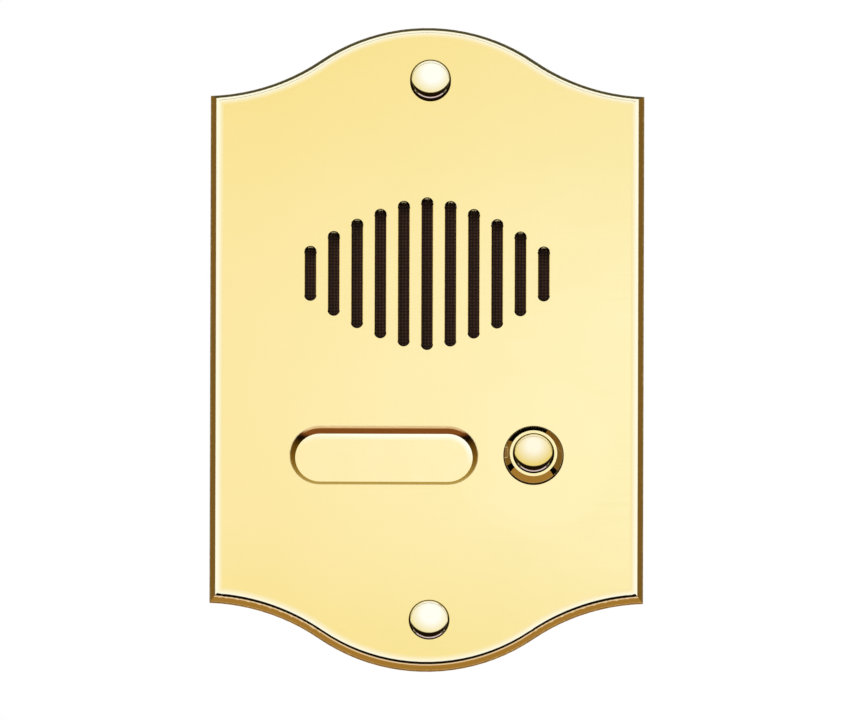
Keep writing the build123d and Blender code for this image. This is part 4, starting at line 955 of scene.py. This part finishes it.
def floor():
    """Pale studio floor below the panel, a flat square, lifted towards white for the camera alone.
    The metal sees the cards in its place."""
    across, back = np.meshgrid([-FLOOR_REACH, FLOOR_REACH], [-FLOOR_REACH, FLOOR_REACH], indexing="ij")
    square = np.stack([across, back, np.full_like(back, FLOOR_LEVEL)], axis=-1)
    obj, tree, glow = glowing("floor", square, WHITE)
    obj.visible_camera = obj.visible_diffuse = obj.visible_shadow = obj.visible_transmission = True
    obj.visible_glossy = False
    place = add(tree, "TexCoord").outputs["Object"]
    # soft blotches of backdrop paper, 250 mm across
    paper = add(tree, "TexNoise", {"Vector": place, "Scale": 1 / (250 * MM), "Detail": 3.0})
    tone = add(tree, "Mix", {0: paper, 6: "#EDEBE7", 7: "#F3F1EE"}, data_type="RGBA")
    seen = add(tree, "LightPath").outputs["Is Camera Ray"]
    lift = add(tree, "Math", {0: seen, 1: FLOOR_LIFT}, operation="MULTIPLY")
    wire(tree, glow, {"Color": tone, "Strength": lift})
    both = add(tree, "AddShader", {0: add(tree, "BsdfDiffuse", {"Color": tone}), 1: glow})
    wire(tree, tree.nodes["Material Output"], {"Surface": both})


def surround():
    """White to the camera and in the metal and glass, a plain soft level for everything else."""
    world = bpy.data.worlds.new("surround")
    bpy.context.scene.world = world
    world.use_nodes = True
    tree = world.node_tree
    tree.nodes.clear()
    ray = add(tree, "LightPath").outputs
    seen = add(tree, "Math", {0: ray["Is Camera Ray"], 1: ray["Is Glossy Ray"]}, operation="MAXIMUM")
    seen = add(tree, "Math", {0: seen, 1: ray["Is Transmission Ray"]}, operation="MAXIMUM")
    soft = add(tree, "Background", {"Color": "#F7F5F0", "Strength": 0.55})
    white = add(tree, "Background", {"Color": (1, 1, 1, 1), "Strength": 1.0})
    add(tree, "OutputWorld", {"Surface": add(tree, "MixShader", {0: seen, 1: soft, 2: white})})


def lamp(name, at, watts):
    """A square soft lamp turned to the panel."""
    light = bpy.data.lights.new(name, "AREA")
    light.size = LAMP_SIZE
    light.energy = watts
    obj = bpy.data.objects.new(name, light)
    bpy.context.collection.objects.link(obj)
    obj.location = at
    obj.rotation_euler = (-Vector(at)).to_track_quat("-Z", "Y").to_euler()
    obj.visible_glossy = False


face_card()
bezel_frame()
shell("white_tent", (0, 360), 0, rim, WHITE)
shell("dark_top", (-80, 80), rim, FAR_LEAN, SMOKE)
shell("right_brown", (80, 115), rim, SIDE_LEAN, BROWN)
shell("left_brown", (245, 280), rim, SIDE_LEAN, BROWN)
shell("right_low", (115, 140), rim, SIDE_LEAN, BLACK, BLACK_TO_BROWN)
shell("left_low", (220, 245), rim, SIDE_LEAN, BLACK, BLACK_TO_BROWN)
shell("low_tan", (140, 220), 45, 54, WARM)
shell("low_brown", (140, 220), 54, FAR_LEAN, DEEP)
floor()
surround()
lamp("key_lamp", (-0.7, -1.1, 1.0), 16)
lamp("fill_lamp", (1.0, -1.0, 0.5), 9)
lamp("rear_lamp", (0.5, 1.2, 0.9), 14)

bpy.context.scene.view_settings.view_transform = "Standard"
